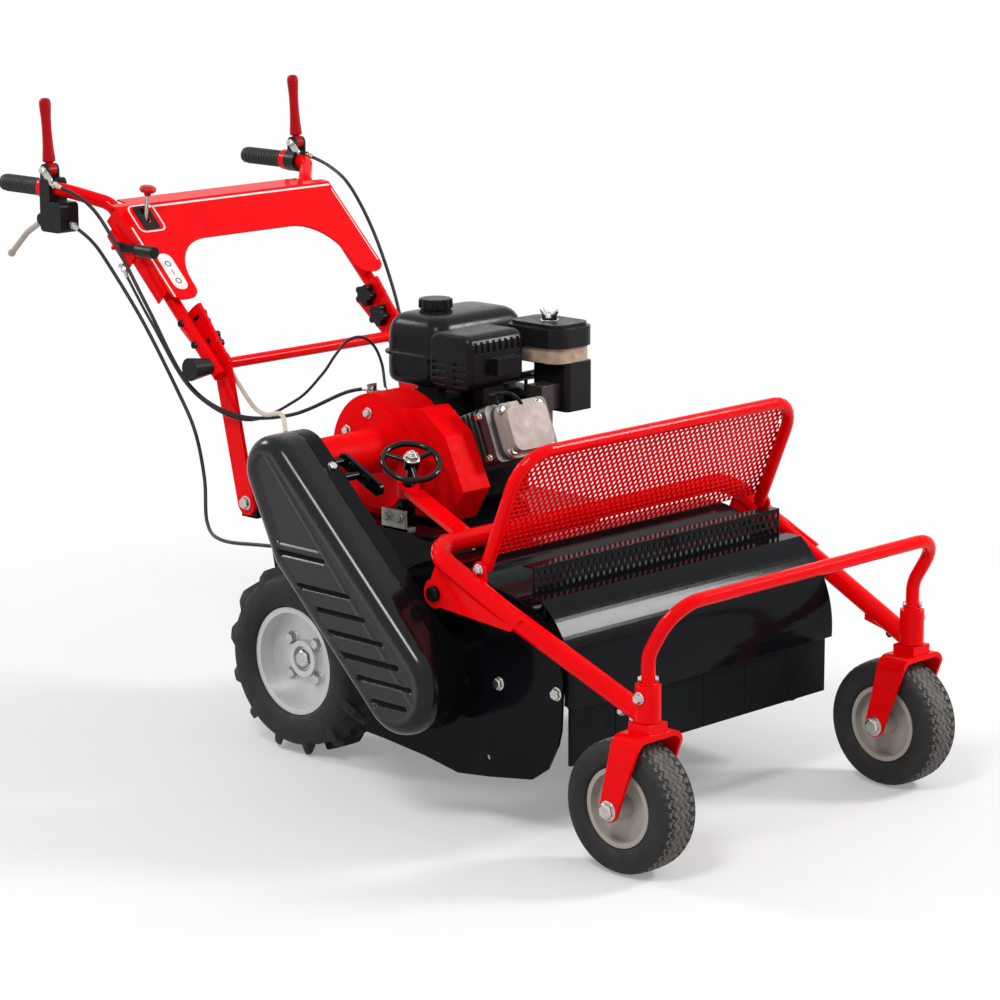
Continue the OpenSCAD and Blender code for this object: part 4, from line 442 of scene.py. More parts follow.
# %% Grips
GRIP_RINGS, GRIP_RING_STEP, GRIP_RADIUS, GRIP_WAIST = 13, 7.6, 16.4, 14.9
GRIP_X, GRIP_Y, GRIP_Z = -626, 300, 966
grip_profile = [(0, 13.0), (0, 17.6), (1.2, 18.6), (4.6, 18.6), (6, 17.0)]
for ring in range(GRIP_RINGS):
    start = 9 + ring * GRIP_RING_STEP
    grip_profile += [(start, GRIP_WAIST), (start + 1.1, GRIP_RADIUS), (start + 4.6, GRIP_RADIUS),
                     (start + 5.8, GRIP_WAIST)]
grip_profile += [(109, 15.4), (113.5, 15.6), (116.5, 14.6), (118.3, 11.5), (119, 6), (119, 0.4)]
grips = heap(*[turned(grip_profile, at(GRIP_X, side * GRIP_Y, GRIP_Z), (-1, 0, 0), 40) for side in (-1, 1)])
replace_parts(new_piece("ribbed_grips", grips, "grip_rubber", "handle", sharp=50), "hand_grips")

# %% [markdown]
# ## The punched guard sheet
# The red guard in front of the engine is a steel sheet punched with staggered round holes. Cutting more
# than a thousand holes with booleans would be slow and leave a poor mesh, and a picture of holes would have
# no thickness. Instead each hole sits in its own rectangular cell: eight points on the cell's edge, eight
# on the hole, and eight faces between them. Shifting every second row by half a cell makes corners meet the
# middles of the next row, so the cells join into one sheet.

# %% Punched sheet
SHEET_LOW, SHEET_HIGH = at(562, 0, 446), at(645, 0, 645)
sheet_up = (SHEET_HIGH - SHEET_LOW).normalized()
sheet_out = Vector((sheet_up.z, 0, -sheet_up.x))
sheet_long = (SHEET_HIGH - SHEET_LOW).length
HOLE_COLUMNS, HOLE_ROWS, SHEET_HALF, SHEET_THICK = 54, 22, mm(344), mm(1.6)
SHEET_FOOT, SHEET_BACK, CORNER = mm(14), mm(11.05), mm(60)
cell_w, cell_h = 2 * SHEET_HALF / HOLE_COLUMNS, (sheet_long - SHEET_FOOT) / HOLE_ROWS
hole_r = 0.40 * min(cell_w, cell_h)


def on_sheet(y, v):
    return SHEET_LOW + Vector((0, y, 0)) + sheet_up * v - sheet_out * SHEET_BACK


def inside_sheet(y, v):
    over_y, over_v = abs(y) - (SHEET_HALF - CORNER), v - (sheet_long - CORNER)
    return not (over_y > 0 and over_v > 0 and math.hypot(over_y, over_v) > CORNER)


def punched_cells():
    points, faces = [], []
    around = [(1, 0), (1, 1), (0, 1), (-1, 1), (-1, 0), (-1, -1), (0, -1), (1, -1)]
    for row in range(HOLE_ROWS):
        shift = 0.5 * (row % 2)
        for column in range(HOLE_COLUMNS - (row % 2)):
            y = (column + 0.5 + shift) * cell_w - SHEET_HALF
            v = SHEET_FOOT + (row + 0.5) * cell_h
            if not inside_sheet(abs(y) + cell_w / 2, v + cell_h / 2):
                continue
            start = len(points)
            points += [on_sheet(y + a * cell_w / 2, v + b * cell_h / 2) for a, b in around]
            for k in range(8):
                turn = k * math.pi / 4
                points.append(on_sheet(y + hole_r * math.cos(turn), v + hole_r * math.sin(turn)))
            for k in range(8):
                n = (k + 1) % 8
                faces.append((start + k, start + n, start + 8 + n, start + 8 + k))
        if row % 2:
            for side in (-1, 1):
                y0, y1 = side * SHEET_HALF, side * (SHEET_HALF - cell_w / 2)
                v0 = SHEET_FOOT + row * cell_h
                v1 = v0 + cell_h
                if inside_sheet(abs(y0), v1):
                    start = len(points)
                    points += [on_sheet(y0, v0), on_sheet(y1, v0), on_sheet(y1, v1), on_sheet(y0, v1)]
                    faces.append((start, start + 1, start + 2, start + 3))
    return points, faces


guard_sheet = new_piece("punched_guard_sheet", punched_cells(), "red_paint", "front", sharp=30)
thick = guard_sheet.modifiers.new("thickness", "SOLIDIFY")
thick.thickness, thick.offset = SHEET_THICK, 0
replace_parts(guard_sheet, "grass_guard_mesh")

# %% [markdown]
# ## Belt guard shell
# The belt guard is one deep plastic moulding. It could be sculpted, but as a relief every depth stays a
# number that can be changed. Its outline is a belt round three circles. The height of each point of its
# face comes from the distance to that edge: a round border, a sunk panel at the top, and seven grooves, all
# but the first with a dimple under it.

# %% Belt guard outline and height
GUARD_CIRCLES = [((163, 568), 60), ((196, 424), 25), ((466, 250), 84)]
GROOVE_DEEP, DIMPLE_DEEP, PANEL_DEEP, RIM_DEEP, RIDGE_HIGH = 4.5, 4.2, 5.2, 1.4, 1.6
POCKETS = [(190, 308, 435), (238, 369, 385), (284, 405, 352), (312, 447, 318), (344, 483, 285),
           (380, 513, 252), (416, 501, 218)]
EDGE_STEP = 9


def leaving_angle(a, ra, b, rb):
    gap = b - a
    return math.atan2(gap.y, gap.x) - math.acos(max(-1, min(1, (ra - rb) / gap.length)))


def outline(inset, steps=26):
    points = []
    rings = [(Vector(c), r - inset) for c, r in GUARD_CIRCLES]
    for i, (centre, radius) in enumerate(rings):
        start = leaving_angle(*rings[i - 1], centre, radius)
        stop = leaving_angle(centre, radius, *rings[(i + 1) % 3])
        while stop < start:
            stop += 2 * math.pi
        for k in range(steps + 1):
            turn = start + (stop - start) * k / steps
            points.append(centre + radius * Vector((math.cos(turn), math.sin(turn))))
    dense = []
    for p, q in zip(points, points[1:] + points[:1]):
        parts = max(1, int((q - p).length / EDGE_STEP))
        dense += [p.lerp(q, k / parts) for k in range(parts)]
    return dense


edge_points = outline(0)
print("belt guard outline:", len(edge_points), "points")


def depth_from_edge(p):
    best = 1e9
    for a, b in zip(edge_points, edge_points[1:] + edge_points[:1]):
        ab = b - a
        t = max(0.0, min(1.0, (p - a).dot(ab) / max(ab.length_squared, 1e-9)))
        best = min(best, (p - a - ab * t).length)
    return best


def ease(value, low, high):
    t = max(0.0, min(1.0, (value - low) / (high - low)))
    return t * t * (3 - 2 * t)


EDGE_ROUND = [(0, 30), (0.6, 23), (1.6, 18), (3.2, 13.6), (5.6, 9.8), (9, 6.2), (13, 3.3), (17, 1.4),
              (21, 0.4), (24, 0)]
TOP_CENTRE, FRONT_WAY, FRONT_REACH = Vector(GUARD_CIRCLES[0][0]), Vector((0.724, 0.690)), 62
RIM_BAND, PANEL_BAND, PANEL_FRONT, PANEL_FOOT = (26, 31), (29, 33), (47, 51), (447, 452)
RIDGE_FROM, RIDGE_WIDE, RIDGE_BAND = 34, 12, (28, 34)
GROOVE_END, GROOVE_FLANK, GROOVE_BAND = 5, (2.6, 5.4), (24, 27)
DIMPLE_IN, DIMPLE_BELOW, DIMPLE_HALF, DIMPLE_FLANK = 9, 15, (5.5, 8.5), (0.35, 1.0)


def face_height(p, inset):
    for (d0, h0), (d1, h1) in zip(EDGE_ROUND, EDGE_ROUND[1:]):
        if inset <= d1:
            return h0 + (h1 - h0) * (inset - d0) / (d1 - d0)
    from_front = FRONT_REACH - (p - TOP_CENTRE).dot(FRONT_WAY)
    over_ridge = max(0.0, min(1.0, (from_front - RIDGE_FROM) / RIDGE_WIDE))
    low = RIM_DEEP * ease(inset, *RIM_BAND)
    low -= RIDGE_HIGH * math.sin(math.pi * over_ridge) * ease(inset, *RIDGE_BAND)
    low += PANEL_DEEP * ease(inset, *PANEL_BAND) * ease(from_front, *PANEL_FRONT) * ease(p.y, *PANEL_FOOT)
    return low + GROOVE_DEEP * groove_share(p, inset) + DIMPLE_DEEP * dimple_share(p)


def groove_share(p, inset):
    share = 0.0
    for x0, x1, z in POCKETS:
        along = max(x0 + GROOVE_END - p.x, p.x - x1 + GROOVE_END, 0.0)
        share = max(share, 1 - ease(math.hypot(along, p.y - z), *GROOVE_FLANK))
    return share * ease(inset, *GROOVE_BAND)


def dimple_share(p):
    share = 0.0
    for x0, _, z in POCKETS[1:]:
        across, down = (p.x - x0 - DIMPLE_IN) / DIMPLE_HALF[0], (p.y - z + DIMPLE_BELOW) / DIMPLE_HALF[1]
        share = max(share, 1 - ease(math.hypot(across, down), *DIMPLE_FLANK))
    return share


# %% [markdown]
# ## From relief to moulding
# Rings of points run inwards from the outline over the rounded edge, a grid fills the face, and a
# triangulation joins them. A grid alone would leave a jagged edge. Each point is then lifted to its height,
# copies of the edge make the side wall, and a Solidify modifier gives it thickness. The rounded border is
# polished, and its black is also darker than the face's, as painted shade. The bottoms of the grooves get a
# near-black matte: painted shade in the grooves.

# %% Belt guard mesh
GUARD_FACE_Y, GUARD_WALL_Y, GUARD_THICK = -470, (-438, -420, -408.5, -407.5, -404), 2.5
FACE_RINGS, FACE_INSET = [(26, 0), (28.5, 0), (31, 0)], 32
GRID_X, GRID_Z, GRID_STEP_X, GRID_STEP_Z, GRID_COLUMNS, GRID_ROWS = 95, 160, 2.5, 2.4, 190, 200


def guard_shell():
    flat, insets, first = [], [], []
    for inset, _ in EDGE_ROUND + FACE_RINGS:
        ring = outline(inset)
        first = first or list(range(len(ring)))
        flat += ring
        insets += [inset] * len(ring)
    for i in range(GRID_COLUMNS):
        for j in range(GRID_ROWS):
            p = Vector((GRID_X + GRID_STEP_X * i, GRID_Z + GRID_STEP_Z * j))
            if point_in_outline(p):
                d = depth_from_edge(p)
                if d > FACE_INSET:
                    flat.append(p)
                    insets.append(d)
    loop = [(i, (i + 1) % len(first)) for i in first]
    made = delaunay_2d_cdt(flat, loop, [], 1, 1e-5)
    heights = []
    for p, origin in zip(made[0], made[3]):
        heights.append(face_height(p, insets[origin[0]] if origin else depth_from_edge(p)))
    points = [at(p.x, GUARD_FACE_Y + h, p.y) for p, h in zip(made[0], heights)]
    faces = [tuple(f) for f in made[2]]
    rim = [made[0][i] for i in range(len(first))]
    start = len(points)
    for y in GUARD_WALL_Y:
        points += [at(p.x, y, p.y) for p in rim]
    n = len(rim)
    rows = [list(range(n))]
    rows += [list(range(start + k * n, start + (k + 1) * n)) for k in range(len(GUARD_WALL_Y))]
    for upper, lower in zip(rows, rows[1:]):
        faces += [(upper[k], upper[(k + 1) % n], lower[(k + 1) % n], lower[k]) for k in range(n)]
    return points, faces


def point_in_outline(p, ring=edge_points):
    crossed = False
    for a, b in zip(ring, ring[1:] + ring[:1]):
        if (a.y > p.y) != (b.y > p.y) and p.x < (b.x - a.x) * (p.y - a.y) / (b.y - a.y) + a.x:
            crossed = not crossed
    return crossed


belt_shell = new_piece("belt_guard_shell", guard_shell(), "guard_plastic", "machine", sharp=48)
# The second finish paints shade into the grooves.
belt_shell.data.materials.append(FINISHES["painted_groove_shade"])
# The third finish is the polished border, also painted darker than the face as shade.
belt_shell.data.materials.append(FINISHES["polished_border_shade"])
GROOVE_SHADE_PART, BORDER_SHADE_PART, BORDER_Y, BORDER_INSET = 1, 2, -455, 22
GROOVE_SHADE_FROM, WELL_INSIDE = 0.35, 40
zero, face_edge = at(0, 0, 0), outline(BORDER_INSET)
for face in belt_shell.data.polygons:
    middle = Vector(((face.center.x - zero.x) * 1000, face.center.z * 1000))
    if (face.center.y - zero.y) * 1000 > BORDER_Y or not point_in_outline(middle, face_edge):
        face.material_index = BORDER_SHADE_PART
    elif groove_share(middle, WELL_INSIDE) > GROOVE_SHADE_FROM:
        face.material_index = GROOVE_SHADE_PART
wall = belt_shell.modifiers.new("wall", "SOLIDIFY")
wall.thickness, wall.offset = mm(GUARD_THICK), -1
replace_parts(belt_shell, "belt_guard_cover")

# %% [markdown]
# ## Tyres
# The rear tyres have a smooth carcass and two rows of slanting bars that dig into soft ground. The carcass
# is turned, and each bar is a bent wedge that is wide at its foot. An Array modifier could set one bar
# round the wheel with the help of an empty. A loop needs no such helper, and it can set the two rows half a
# step apart.

# %% Rear tyres
REAR_Y, REAR_Z, CASTER_X, CASTER_Y, CASTER_Z = 220, 170, 879, 337, 111
SIDES = (("right", -1), ("left", 1))


def tyre_profile(shares, inner, outer, width, steps=5):
    return eased([Vector((y * width, inner + r * (outer - inner))) for y, r in shares], steps)


REAR_INNER, REAR_OUTER, REAR_WIDE = 91, 155, 118
REAR_SHARES = [(0.27, -0.02), (0.34, 0.02), (0.36, 0.10), (0.44, 0.19), (0.488, 0.38), (0.5, 0.55),
               (0.488, 0.74), (0.45, 0.88), (0.36, 0.965), (0.2, 1.0), (0, 1.01)]
half = tyre_profile(REAR_SHARES, REAR_INNER, REAR_OUTER, REAR_WIDE)
carcass = [(p.x, p.y) for p in half] + [(-p.x, p.y) for p in reversed(half[:-1])]
BARS, BAR_START, BAR_LONG, BAR_SWING, BAR_FOOT = 13, 2, 54, 0.27, 150
TOP_BEND_SHARE, TOP_DROP, FOOT_BEND_SHARE, FOOT_DROP = 0.72, 23.8, 0.6, 26
BAR_TOP, BAR_TOP_GROWTH, BAR_BASE, BAR_BASE_GROWTH = 6.6, 1.2, 11.5, 1.5
BAR_EDGE = [(4, 1.2), (0.8, -0.6), (0, -2.6)]


def tread_bar(turn, side, rows=9):
    points = []
    for k in range(rows):
        t = k / (rows - 1)
        y = side * (BAR_START + t * BAR_LONG)
        swing = turn + t * BAR_SWING
        top = REAR_Z - TOP_DROP * max(0, (t - TOP_BEND_SHARE) / (1 - TOP_BEND_SHARE)) ** 2
        foot = BAR_FOOT - FOOT_DROP * max(0, (t - FOOT_BEND_SHARE) / (1 - FOOT_BEND_SHARE)) ** 2
        wide_top, wide_foot = BAR_TOP + BAR_TOP_GROWTH * t, BAR_BASE + BAR_BASE_GROWTH * t
        flank = [(foot, wide_foot)] + [(top - down, wide_top + out) for down, out in BAR_EDGE]
        section = [(reach, -wide) for reach, wide in flank] + flank[::-1]
        for reach, wide in section:
            angle = swing + wide / reach
            points.append((reach * math.cos(angle), y, reach * math.sin(angle)))
    return points, skin(rows, len(section))


for word, side in SIDES:
    hub = at(0, side * REAR_Y, REAR_Z)
    part = [turned(carcass, hub, (0, 1, 0), 96, loop=True)]
    for bar in range(BARS):
        for row in (-1, 1):
            points, faces = tread_bar(2 * math.pi * (bar + 0.25 * row) / BARS, row)
            part.append(([hub + Vector(mm(*p)) for p in points], faces))
    tyre = new_piece("rear_tread_" + word, heap(*part), "tyre", "rear_wheel_" + word, sharp=42)
    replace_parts(tyre, "rear_tyre_" + word)

# %% [markdown]
# ## Caster tyres
# The small front tyres have a fine zigzag tread. A displacement picture could press it in, but lines as
# crisp as these would need far more faces. The tyre is a grid of points round the axle, and points that lie
# on the wavy lines are pulled inwards. The top of the tread is a dusty grey.

# %% Caster tyres
CASTER_INNER, CASTER_WIDE = 62, 84
CASTER_SHARES = [(0.27, -0.02), (0.34, 0.03), (0.36, 0.10), (0.43, 0.18), (0.482, 0.36), (0.5, 0.55),
                 (0.48, 0.75), (0.42, 0.89), (0.32, 0.965)]
half = tyre_profile(CASTER_SHARES, CASTER_INNER, CASTER_Z, CASTER_WIDE, 3)
CROWN_HALF, CROWN_STEPS, CROWN_RISE = 27, 36, 1.7
crown = [Vector((CROWN_HALF - 2 * CROWN_HALF * k / CROWN_STEPS, 0)) for k in range(CROWN_STEPS + 1)]
for p in crown:
    p.y = CASTER_Z - CROWN_RISE * (p.x / CROWN_HALF) ** 2
tread_line = half[:-1] + crown + [Vector((-p.x, p.y)) for p in reversed(half[:-1])]
TURN_STEPS, ZIGZAGS, ZIGZAG_REACH, TREAD_FOOT, TREAD_TOP = 264, 44, 4.2, 104, 108.6
LANES, LANE_DEEP, LANE_FLANK = (-19, -6.5, 6.5, 19), 3.2, (0.9, 2.4)
NOTCH_SHARE, NOTCH_FROM, NOTCH_TO, NOTCH_DEEP = 0.17, 21, 34, 2.4


def caster_tread(hub):
    points, faces = [], []
    count = len(tread_line)
    for k in range(TURN_STEPS):
        turn = 2 * math.pi * k / TURN_STEPS
        phase = (k * ZIGZAGS / TURN_STEPS) % 1
        wave = ZIGZAG_REACH * (abs(phase - 0.5) * 4 - 1)
        for p in tread_line:
            radius = p.y
            if radius > TREAD_FOOT:
                for lane in LANES:
                    radius -= LANE_DEEP * (1 - ease(abs(p.x - lane - wave), *LANE_FLANK))
                if phase < NOTCH_SHARE and NOTCH_FROM < abs(p.x) < NOTCH_TO:
                    radius -= NOTCH_DEEP
            points.append(hub + Vector(mm(radius * math.cos(turn), p.x, radius * math.sin(turn))))
    for k in range(TURN_STEPS):
        n = (k + 1) % TURN_STEPS
        for j in range(count - 1):
            faces.append((k * count + j, k * count + j + 1, n * count + j + 1, n * count + j))
        faces.append((k * count + count - 1, k * count, n * count, n * count + count - 1))
    return points, faces


for word, side in SIDES:
    hub = at(CASTER_X, side * CASTER_Y, CASTER_Z)
    tyre = new_piece("caster_tread_" + word, caster_tread(hub), "tyre", "caster_wheel_" + word, sharp=60)
    tyre.data.materials.append(FINISHES["tread_grey"])
    for face in tyre.data.polygons:
        if math.hypot(face.center.x - hub.x, face.center.z - hub.z) > mm(TREAD_TOP):
            face.material_index = 1
    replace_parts(tyre, "caster_tyre_" + word)

# %% [markdown]
# ## Bolts
# Bolts and nuts are zinc plated and catch the light, so a handful of them says more about the scale than
# any big part. A bolt is a washer, a six-sided head and a chamfered top: a turned shape with only six steps
# is a hexagon. All bolts of one body go in one heap, because many single objects would only slow the scene
# down.

# %% Bolt shapes
def hex_bolt(place, direction, across, head):
    base, ahead = at(*place), Vector(direction).normalized()
    washer = turned([(0, across * 0.68), (1.3, across * 0.68), (1.9, across * 0.62)], base, ahead, 28)
    corner = across / math.sqrt(3)
    top = turned([(1.5, corner), (1.5 + head * 0.72, corner), (1.5 + head, corner * 0.80)], base, ahead, 6)
    return heap(washer, top)


def round_bolt(place, direction, across, head):
    r = across / 2
    return turned([(0, r), (head * 0.55, r), (head * 0.85, r * 0.9), (head, r * 0.7), (head, r * 0.42),
                   (head * 0.6, r * 0.40), (head * 0.6, 0.1)], at(*place), direction, 28)


def circle_place(x, y, z, radius, degrees):
    turn = math.radians(degrees)
    return (x + radius * math.cos(turn), y, z + radius * math.sin(turn))


# %% [markdown]
# ## Bolts of the machine
# Plated bolts sit on the deck's side plates and on the clutch housing, and two black ones carry the front
# frame. The engine's cylinder leans, so a small function turns places on its head into places on the
# machine. They could be measured upright as well, but along the head their pattern stays a plain one.

# %% Bolts of the machine
DECK_BOLTS = [(582.85, 253.4), (713.05, 260.2), (355, 290.8), (322.45, 216)]
DECK_FACE_Y, PIVOT_FACE_Y, DRUM_FACE_Y, DRUM_X, DRUM_Z, DRUM_BOLT_RADIUS = 335.2, 378.6, -188.2, 134, 548, 78
plated = [hex_bolt((x, side * DECK_FACE_Y, z), (0, side, 0), 17, 7)
          for x, z in DECK_BOLTS for side in (-1, 1)]
plated += [hex_bolt(circle_place(DRUM_X, DRUM_FACE_Y, DRUM_Z, DRUM_BOLT_RADIUS, a), (0, -1, 0), 14, 6.5)
           for a in (100, 150, 205)]
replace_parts(new_piece("deck_and_housing_bolts", heap(*plated), "zinc", "machine"), "machine_bolts")
PIVOT_X, PIVOT_Z = 476, 395
pivots = [round_bolt((PIVOT_X, side * PIVOT_FACE_Y, PIVOT_Z), (0, side, 0), 27, 9) for side in (-1, 1)]
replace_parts(new_piece("frame_pivot_bolts", heap(*pivots), "black_paint", "machine"), "machine_bolts")
HEAD_TILT, HEAD_X, HEAD_Z = math.radians(22), 234, 562


def on_head(x, y, z):
    return (HEAD_X + x * math.cos(HEAD_TILT) - z * math.sin(HEAD_TILT), y,
            HEAD_Z + x * math.sin(HEAD_TILT) + z * math.cos(HEAD_TILT))


head_way = (math.cos(HEAD_TILT), 0, math.sin(HEAD_TILT))
HEAD_BOLTS, HEAD_FACE_Y = [(14, 34), (16, -36), (88, -38), (90, 36)], -98.2
LID_FACE, LID_Y, LID_HALF_WIDE, LID_HALF_HIGH = 113.5, -22, 46, 37
engine_bolts = [hex_bolt(on_head(LID_FACE, LID_Y + a * LID_HALF_WIDE, b * LID_HALF_HIGH), head_way, 12.5, 7)
                for a in (-1, 1) for b in (-1, 1)]
engine_bolts += [hex_bolt(on_head(x, HEAD_FACE_Y, z), (0, -1, 0), 11, 6) for x, z in HEAD_BOLTS]
new_piece("engine_bolts", heap(*engine_bolts), "zinc", "machine")

# %% [markdown]
# ## Bolts of the front frame
# Bolts hold the bumper's stems, the ends of the arms and the feet of the guard. The frame is the same on
# both sides, so each place is written once and a loop mirrors it. A Mirror modifier would do that too, but
# the bolts would have to be in one half first.

# %% Bolts of the front frame
STEM_X, STEM_Y, DIAGONAL = 914, 337, 0.707
front_bolts = [hex_bolt((STEM_X, side * 358.2, 296), (0, side, 0), 15, 7) for side in (-1, 1)]
front_bolts += [hex_bolt((x, side * 341.2, z), (0, side, 0), 11, 5)
                for x, z in ((862, 262), (888, 256)) for side in (-1, 1)]
front_bolts += [hex_bolt((STEM_X + 11 * a, side * STEM_Y + 11 * a, 324), (a, a, 0), 9, 4)
                for a in (-DIAGONAL, DIAGONAL) for side in (-1, 1)]
front_bolts += [hex_bolt((562, side * 361, 446), (0, side, 0), 15, 6) for side in (-1, 1)]
new_piece("front_frame_bolts", heap(*front_bolts), "zinc", "front")

# %% [markdown]
# ## Bolts of the wheels and the handle
# Axle bolts swivel with their forks, wheel nuts turn with their wheels, and a nut holds the handwheel. One
# heap would be shorter, but it would stay behind when a wheel turns, so every body gets a heap of its own.

# %% Bolts of the wheels, the handwheel and the handle's legs
FORK_HALF, RIM_DISC, NUT_RADIUS, AXLE_END_Y = 55.1, 13.08, 46, 236.2
for word, side in SIDES:
    axle = [hex_bolt((CASTER_X, side * CASTER_Y + k * FORK_HALF, CASTER_Z), (0, k, 0), 25, 8)
            for k in (-1, 1)]
    new_piece("caster_axle_bolts_" + word, heap(*axle), "zinc", "caster_" + word)
    disc_y = side * (REAR_Y + RIM_DISC)
    nuts = [hex_bolt(circle_place(0, disc_y, REAR_Z, NUT_RADIUS, 45 + 90 * k), (0, side, 0), 19, 10.5)
            for k in range(4)]
    nuts.append(hex_bolt((0, side * AXLE_END_Y, REAR_Z), (0, side, 0), 30, 9))
    new_piece("wheel_nuts_" + word, heap(*nuts), "zinc", "rear_wheel_" + word)
WHEEL_AT, WHEEL_WAY = (291, -250, 571), Vector((0.415563, -0.249695, 0.87462))
hub_base = at(*WHEEL_AT) + WHEEL_WAY * mm(8)
hub_nut = [turned([(0, 14.4), (1.6, 14.4), (2.4, 13.4)], hub_base, WHEEL_WAY, 32),
           turned([(2, 11.6), (8.6, 11.6), (10.4, 9.6)], hub_base, WHEEL_WAY, 6),
           turned([(9, 6), (13.5, 6), (15, 4.6), (15, 0.3)], hub_base, WHEEL_WAY, 24)]
new_piece("handwheel_nut", heap(*hub_nut), "zinc", "handwheel")
leg_bolts = [hex_bolt((-165, side * 224.1, 427), (0, side, 0), 19, 8) for side in (-1, 1)]
new_piece("handle_leg_bolts", heap(*leg_bolts), "zinc", "machine")

# %% [markdown]
# ## Link strap on the belt guard
# Beside the clutch housing sits a black strap with two round bosses and two bright pins, held off the
# guard's back plate by two spacers. A stretched box would have square ends, so the strap is drawn as two
# half circles with straight lines between them. Two smaller plated straps belong to the levers on the
# handle.

# %% Link strap
def strap(first, second, half_width, y0, y1, steps=10):
    a, b = Vector(first), Vector(second)
    along = (b - a).normalized()
    ring = []
    for centre, start in ((a, math.pi / 2), (b, -math.pi / 2)):
        for k in range(steps + 1):
            turn = math.atan2(along.y, along.x) + start + math.pi * k / steps
            ring.append(centre + half_width * Vector((math.cos(turn), math.sin(turn))))
    return [at(p.x, y, p.y) for y in (y0, y1) for p in ring], skin(2, len(ring))


LEVER_PIN, LINK_FOOT = (-600, 1001), (-583, 984)
lever_links = []
for face_y in (-319.40, 292.60):
    lever_links += [strap(LEVER_PIN, LINK_FOOT, 7.5, face_y - 2.2, face_y),
                    hex_bolt((LEVER_PIN[0], face_y - 2.2, LEVER_PIN[1]), (0, -1, 0), 11, 5)]
new_piece("lever_links", heap(*lever_links), "zinc", "handle")
STRAP_Y = -334
BOSS = [(0, 9.6), (2.6, 9.6), (3.4, 8.6), (3.4, 5.2), (0.6, 4.6), (0.6, 0.3)]
SPACER = [(0, 7), (38, 7), (38, 10.5), (47, 10.5), (49, 9), (49, 4.5), (46, 4), (46, 0.2)]
PIN = [(0, 3.2), (15, 3.2), (17, 2.2)]
link = [strap((212, 575), (292, 537), 12, STRAP_Y, STRAP_Y + 8)]
link += [turned(BOSS, at(x, STRAP_Y, z), (0, -1, 0), 28) for x, z in ((232, 565.5), (268, 548.4))]
link += [turned(SPACER, at(x, -372, z), (0, 1, 0), 24) for x, z in ((214, 574), (252, 556))]
new_piece("link_strap", heap(*link), "black_paint", "machine")
pins = [turned(PIN, at(x, STRAP_Y, z), (0, 1, 0), 16) for x, z in ((281, 547), (292, 533))]
pins.append(hex_bolt((240, -386, 575), (FRONT_WAY.x, 0, FRONT_WAY.y), 14, 6))
new_piece("link_pins", heap(*pins), "zinc", "machine")

# %% [markdown]
# ## Panel trim
# The red panel carries a white line under its fold and round the shift slot, a black plate with the slot,
# and a pale strip with two marks beside the throttle. A white line along its edge on the operator's left is a
# painted highlight on the fold there. An image could paint these, but it needs an unwrapped mesh and goes
# soft up close. Here they are thin plates laid on the panel, in its own slanted measure: up the handle,
# across, and out of the sheet. Three black walls under the slot are painted shade, and keep it dark.

# %% Panel trim
SLOPE, HANDLE_X, HANDLE_Z = math.radians(44.3), -230, 672


def on_handle(u, y, w):
    return at(HANDLE_X - u * math.cos(SLOPE) + w * math.sin(SLOPE), y,
              HANDLE_Z + u * math.sin(SLOPE) + w * math.cos(SLOPE))


def round_ring(u, y, length, width, corner, steps=6):
    ring = []
    for a, b, start in ((1, 1, 0), (-1, 1, 90), (-1, -1, 180), (1, -1, 270)):
        for k in range(steps + 1):
            turn = math.radians(start + 90 * k / steps)
            ring.append((u + a * (length / 2 - corner) + corner * math.cos(turn),
                         y + b * (width / 2 - corner) + corner * math.sin(turn)))
    return ring


def trim_plate(outer, inner, low, high):
    n = len(outer)
    points = [on_handle(u, y, w) for w in (low, high) for u, y in outer]
    if inner is None:
        return points, skin(2, n)
    points += [on_handle(u, y, w) for w in (low, high) for u, y in inner]
    faces = []
    for one, two in ((0, 1), (2, 3), (0, 2), (1, 3)):
        faces += [(one * n + k, one * n + (k + 1) % n, two * n + (k + 1) % n, two * n + k) for k in range(n)]
    return points, faces


PAINT, PLATE, MARK, SLOT_SHADE_WALL = (28.9, 29.4), (28.9, 30.8), (29.3, 29.7), (8, 26)
GATE_U, GATE_Y, STRIP_Y = 328, -210, -228
lines = [trim_plate(round_ring(346, 32, 4, 456, 1.9), None, *PAINT),
         trim_plate(round_ring(222, -257, 164, 3.6, 1.7), None, *PAINT),
         # Painted highlight: this white line along the fold at the operator's left edge stands in for light
         # on the fold.
         trim_plate(round_ring(246, 258.5, 180, 2.2, 1.0), None, *PAINT),
         trim_plate(round_ring(321, -212, 64, 62, 14), round_ring(321, -212, 58, 56, 11), *PAINT),
         trim_plate(round_ring(196, STRIP_Y, 84, 32, 15), None, *PAINT)]
new_piece("panel_trim_and_painted_highlight", heap(*lines), "white_line", "handle", sharp=30)
gate = [trim_plate(round_ring(322, -212, 54, 36, 7), round_ring(GATE_U, GATE_Y, 37, 14, 3), *PLATE)]
# The three black walls under the slot are painted shade inside it.
gate += [trim_plate(round_ring(333.5, GATE_Y + side * 7.85, 31, 1.5, 0.6), None, *SLOT_SHADE_WALL) for side in (-1, 1)]
gate.append(trim_plate(round_ring(348, GATE_Y, 2, 17, 0.8), None, *SLOT_SHADE_WALL))
new_piece("shift_gate_plate", heap(*gate), "black_plastic", "handle", sharp=30)
marks = [trim_plate(round_ring(u, STRIP_Y, 13, 13, 6.4), round_ring(u, STRIP_Y, 9, 9, 4.4), *MARK)
         for u in (174, 214)]
marks.append(trim_plate(round_ring(194, STRIP_Y, 12, 1.6, 0.7), None, *MARK))
new_piece("throttle_marks", heap(*marks), "mark_grey", "handle", sharp=30)

# %% [markdown]
# ## Shift lever
# The lever is a plated rod with a flat red knob, on a short cross pin in the panel. A squashed sphere would
# have neither the neck nor the flat top of the knob, so rod and knob are turned.

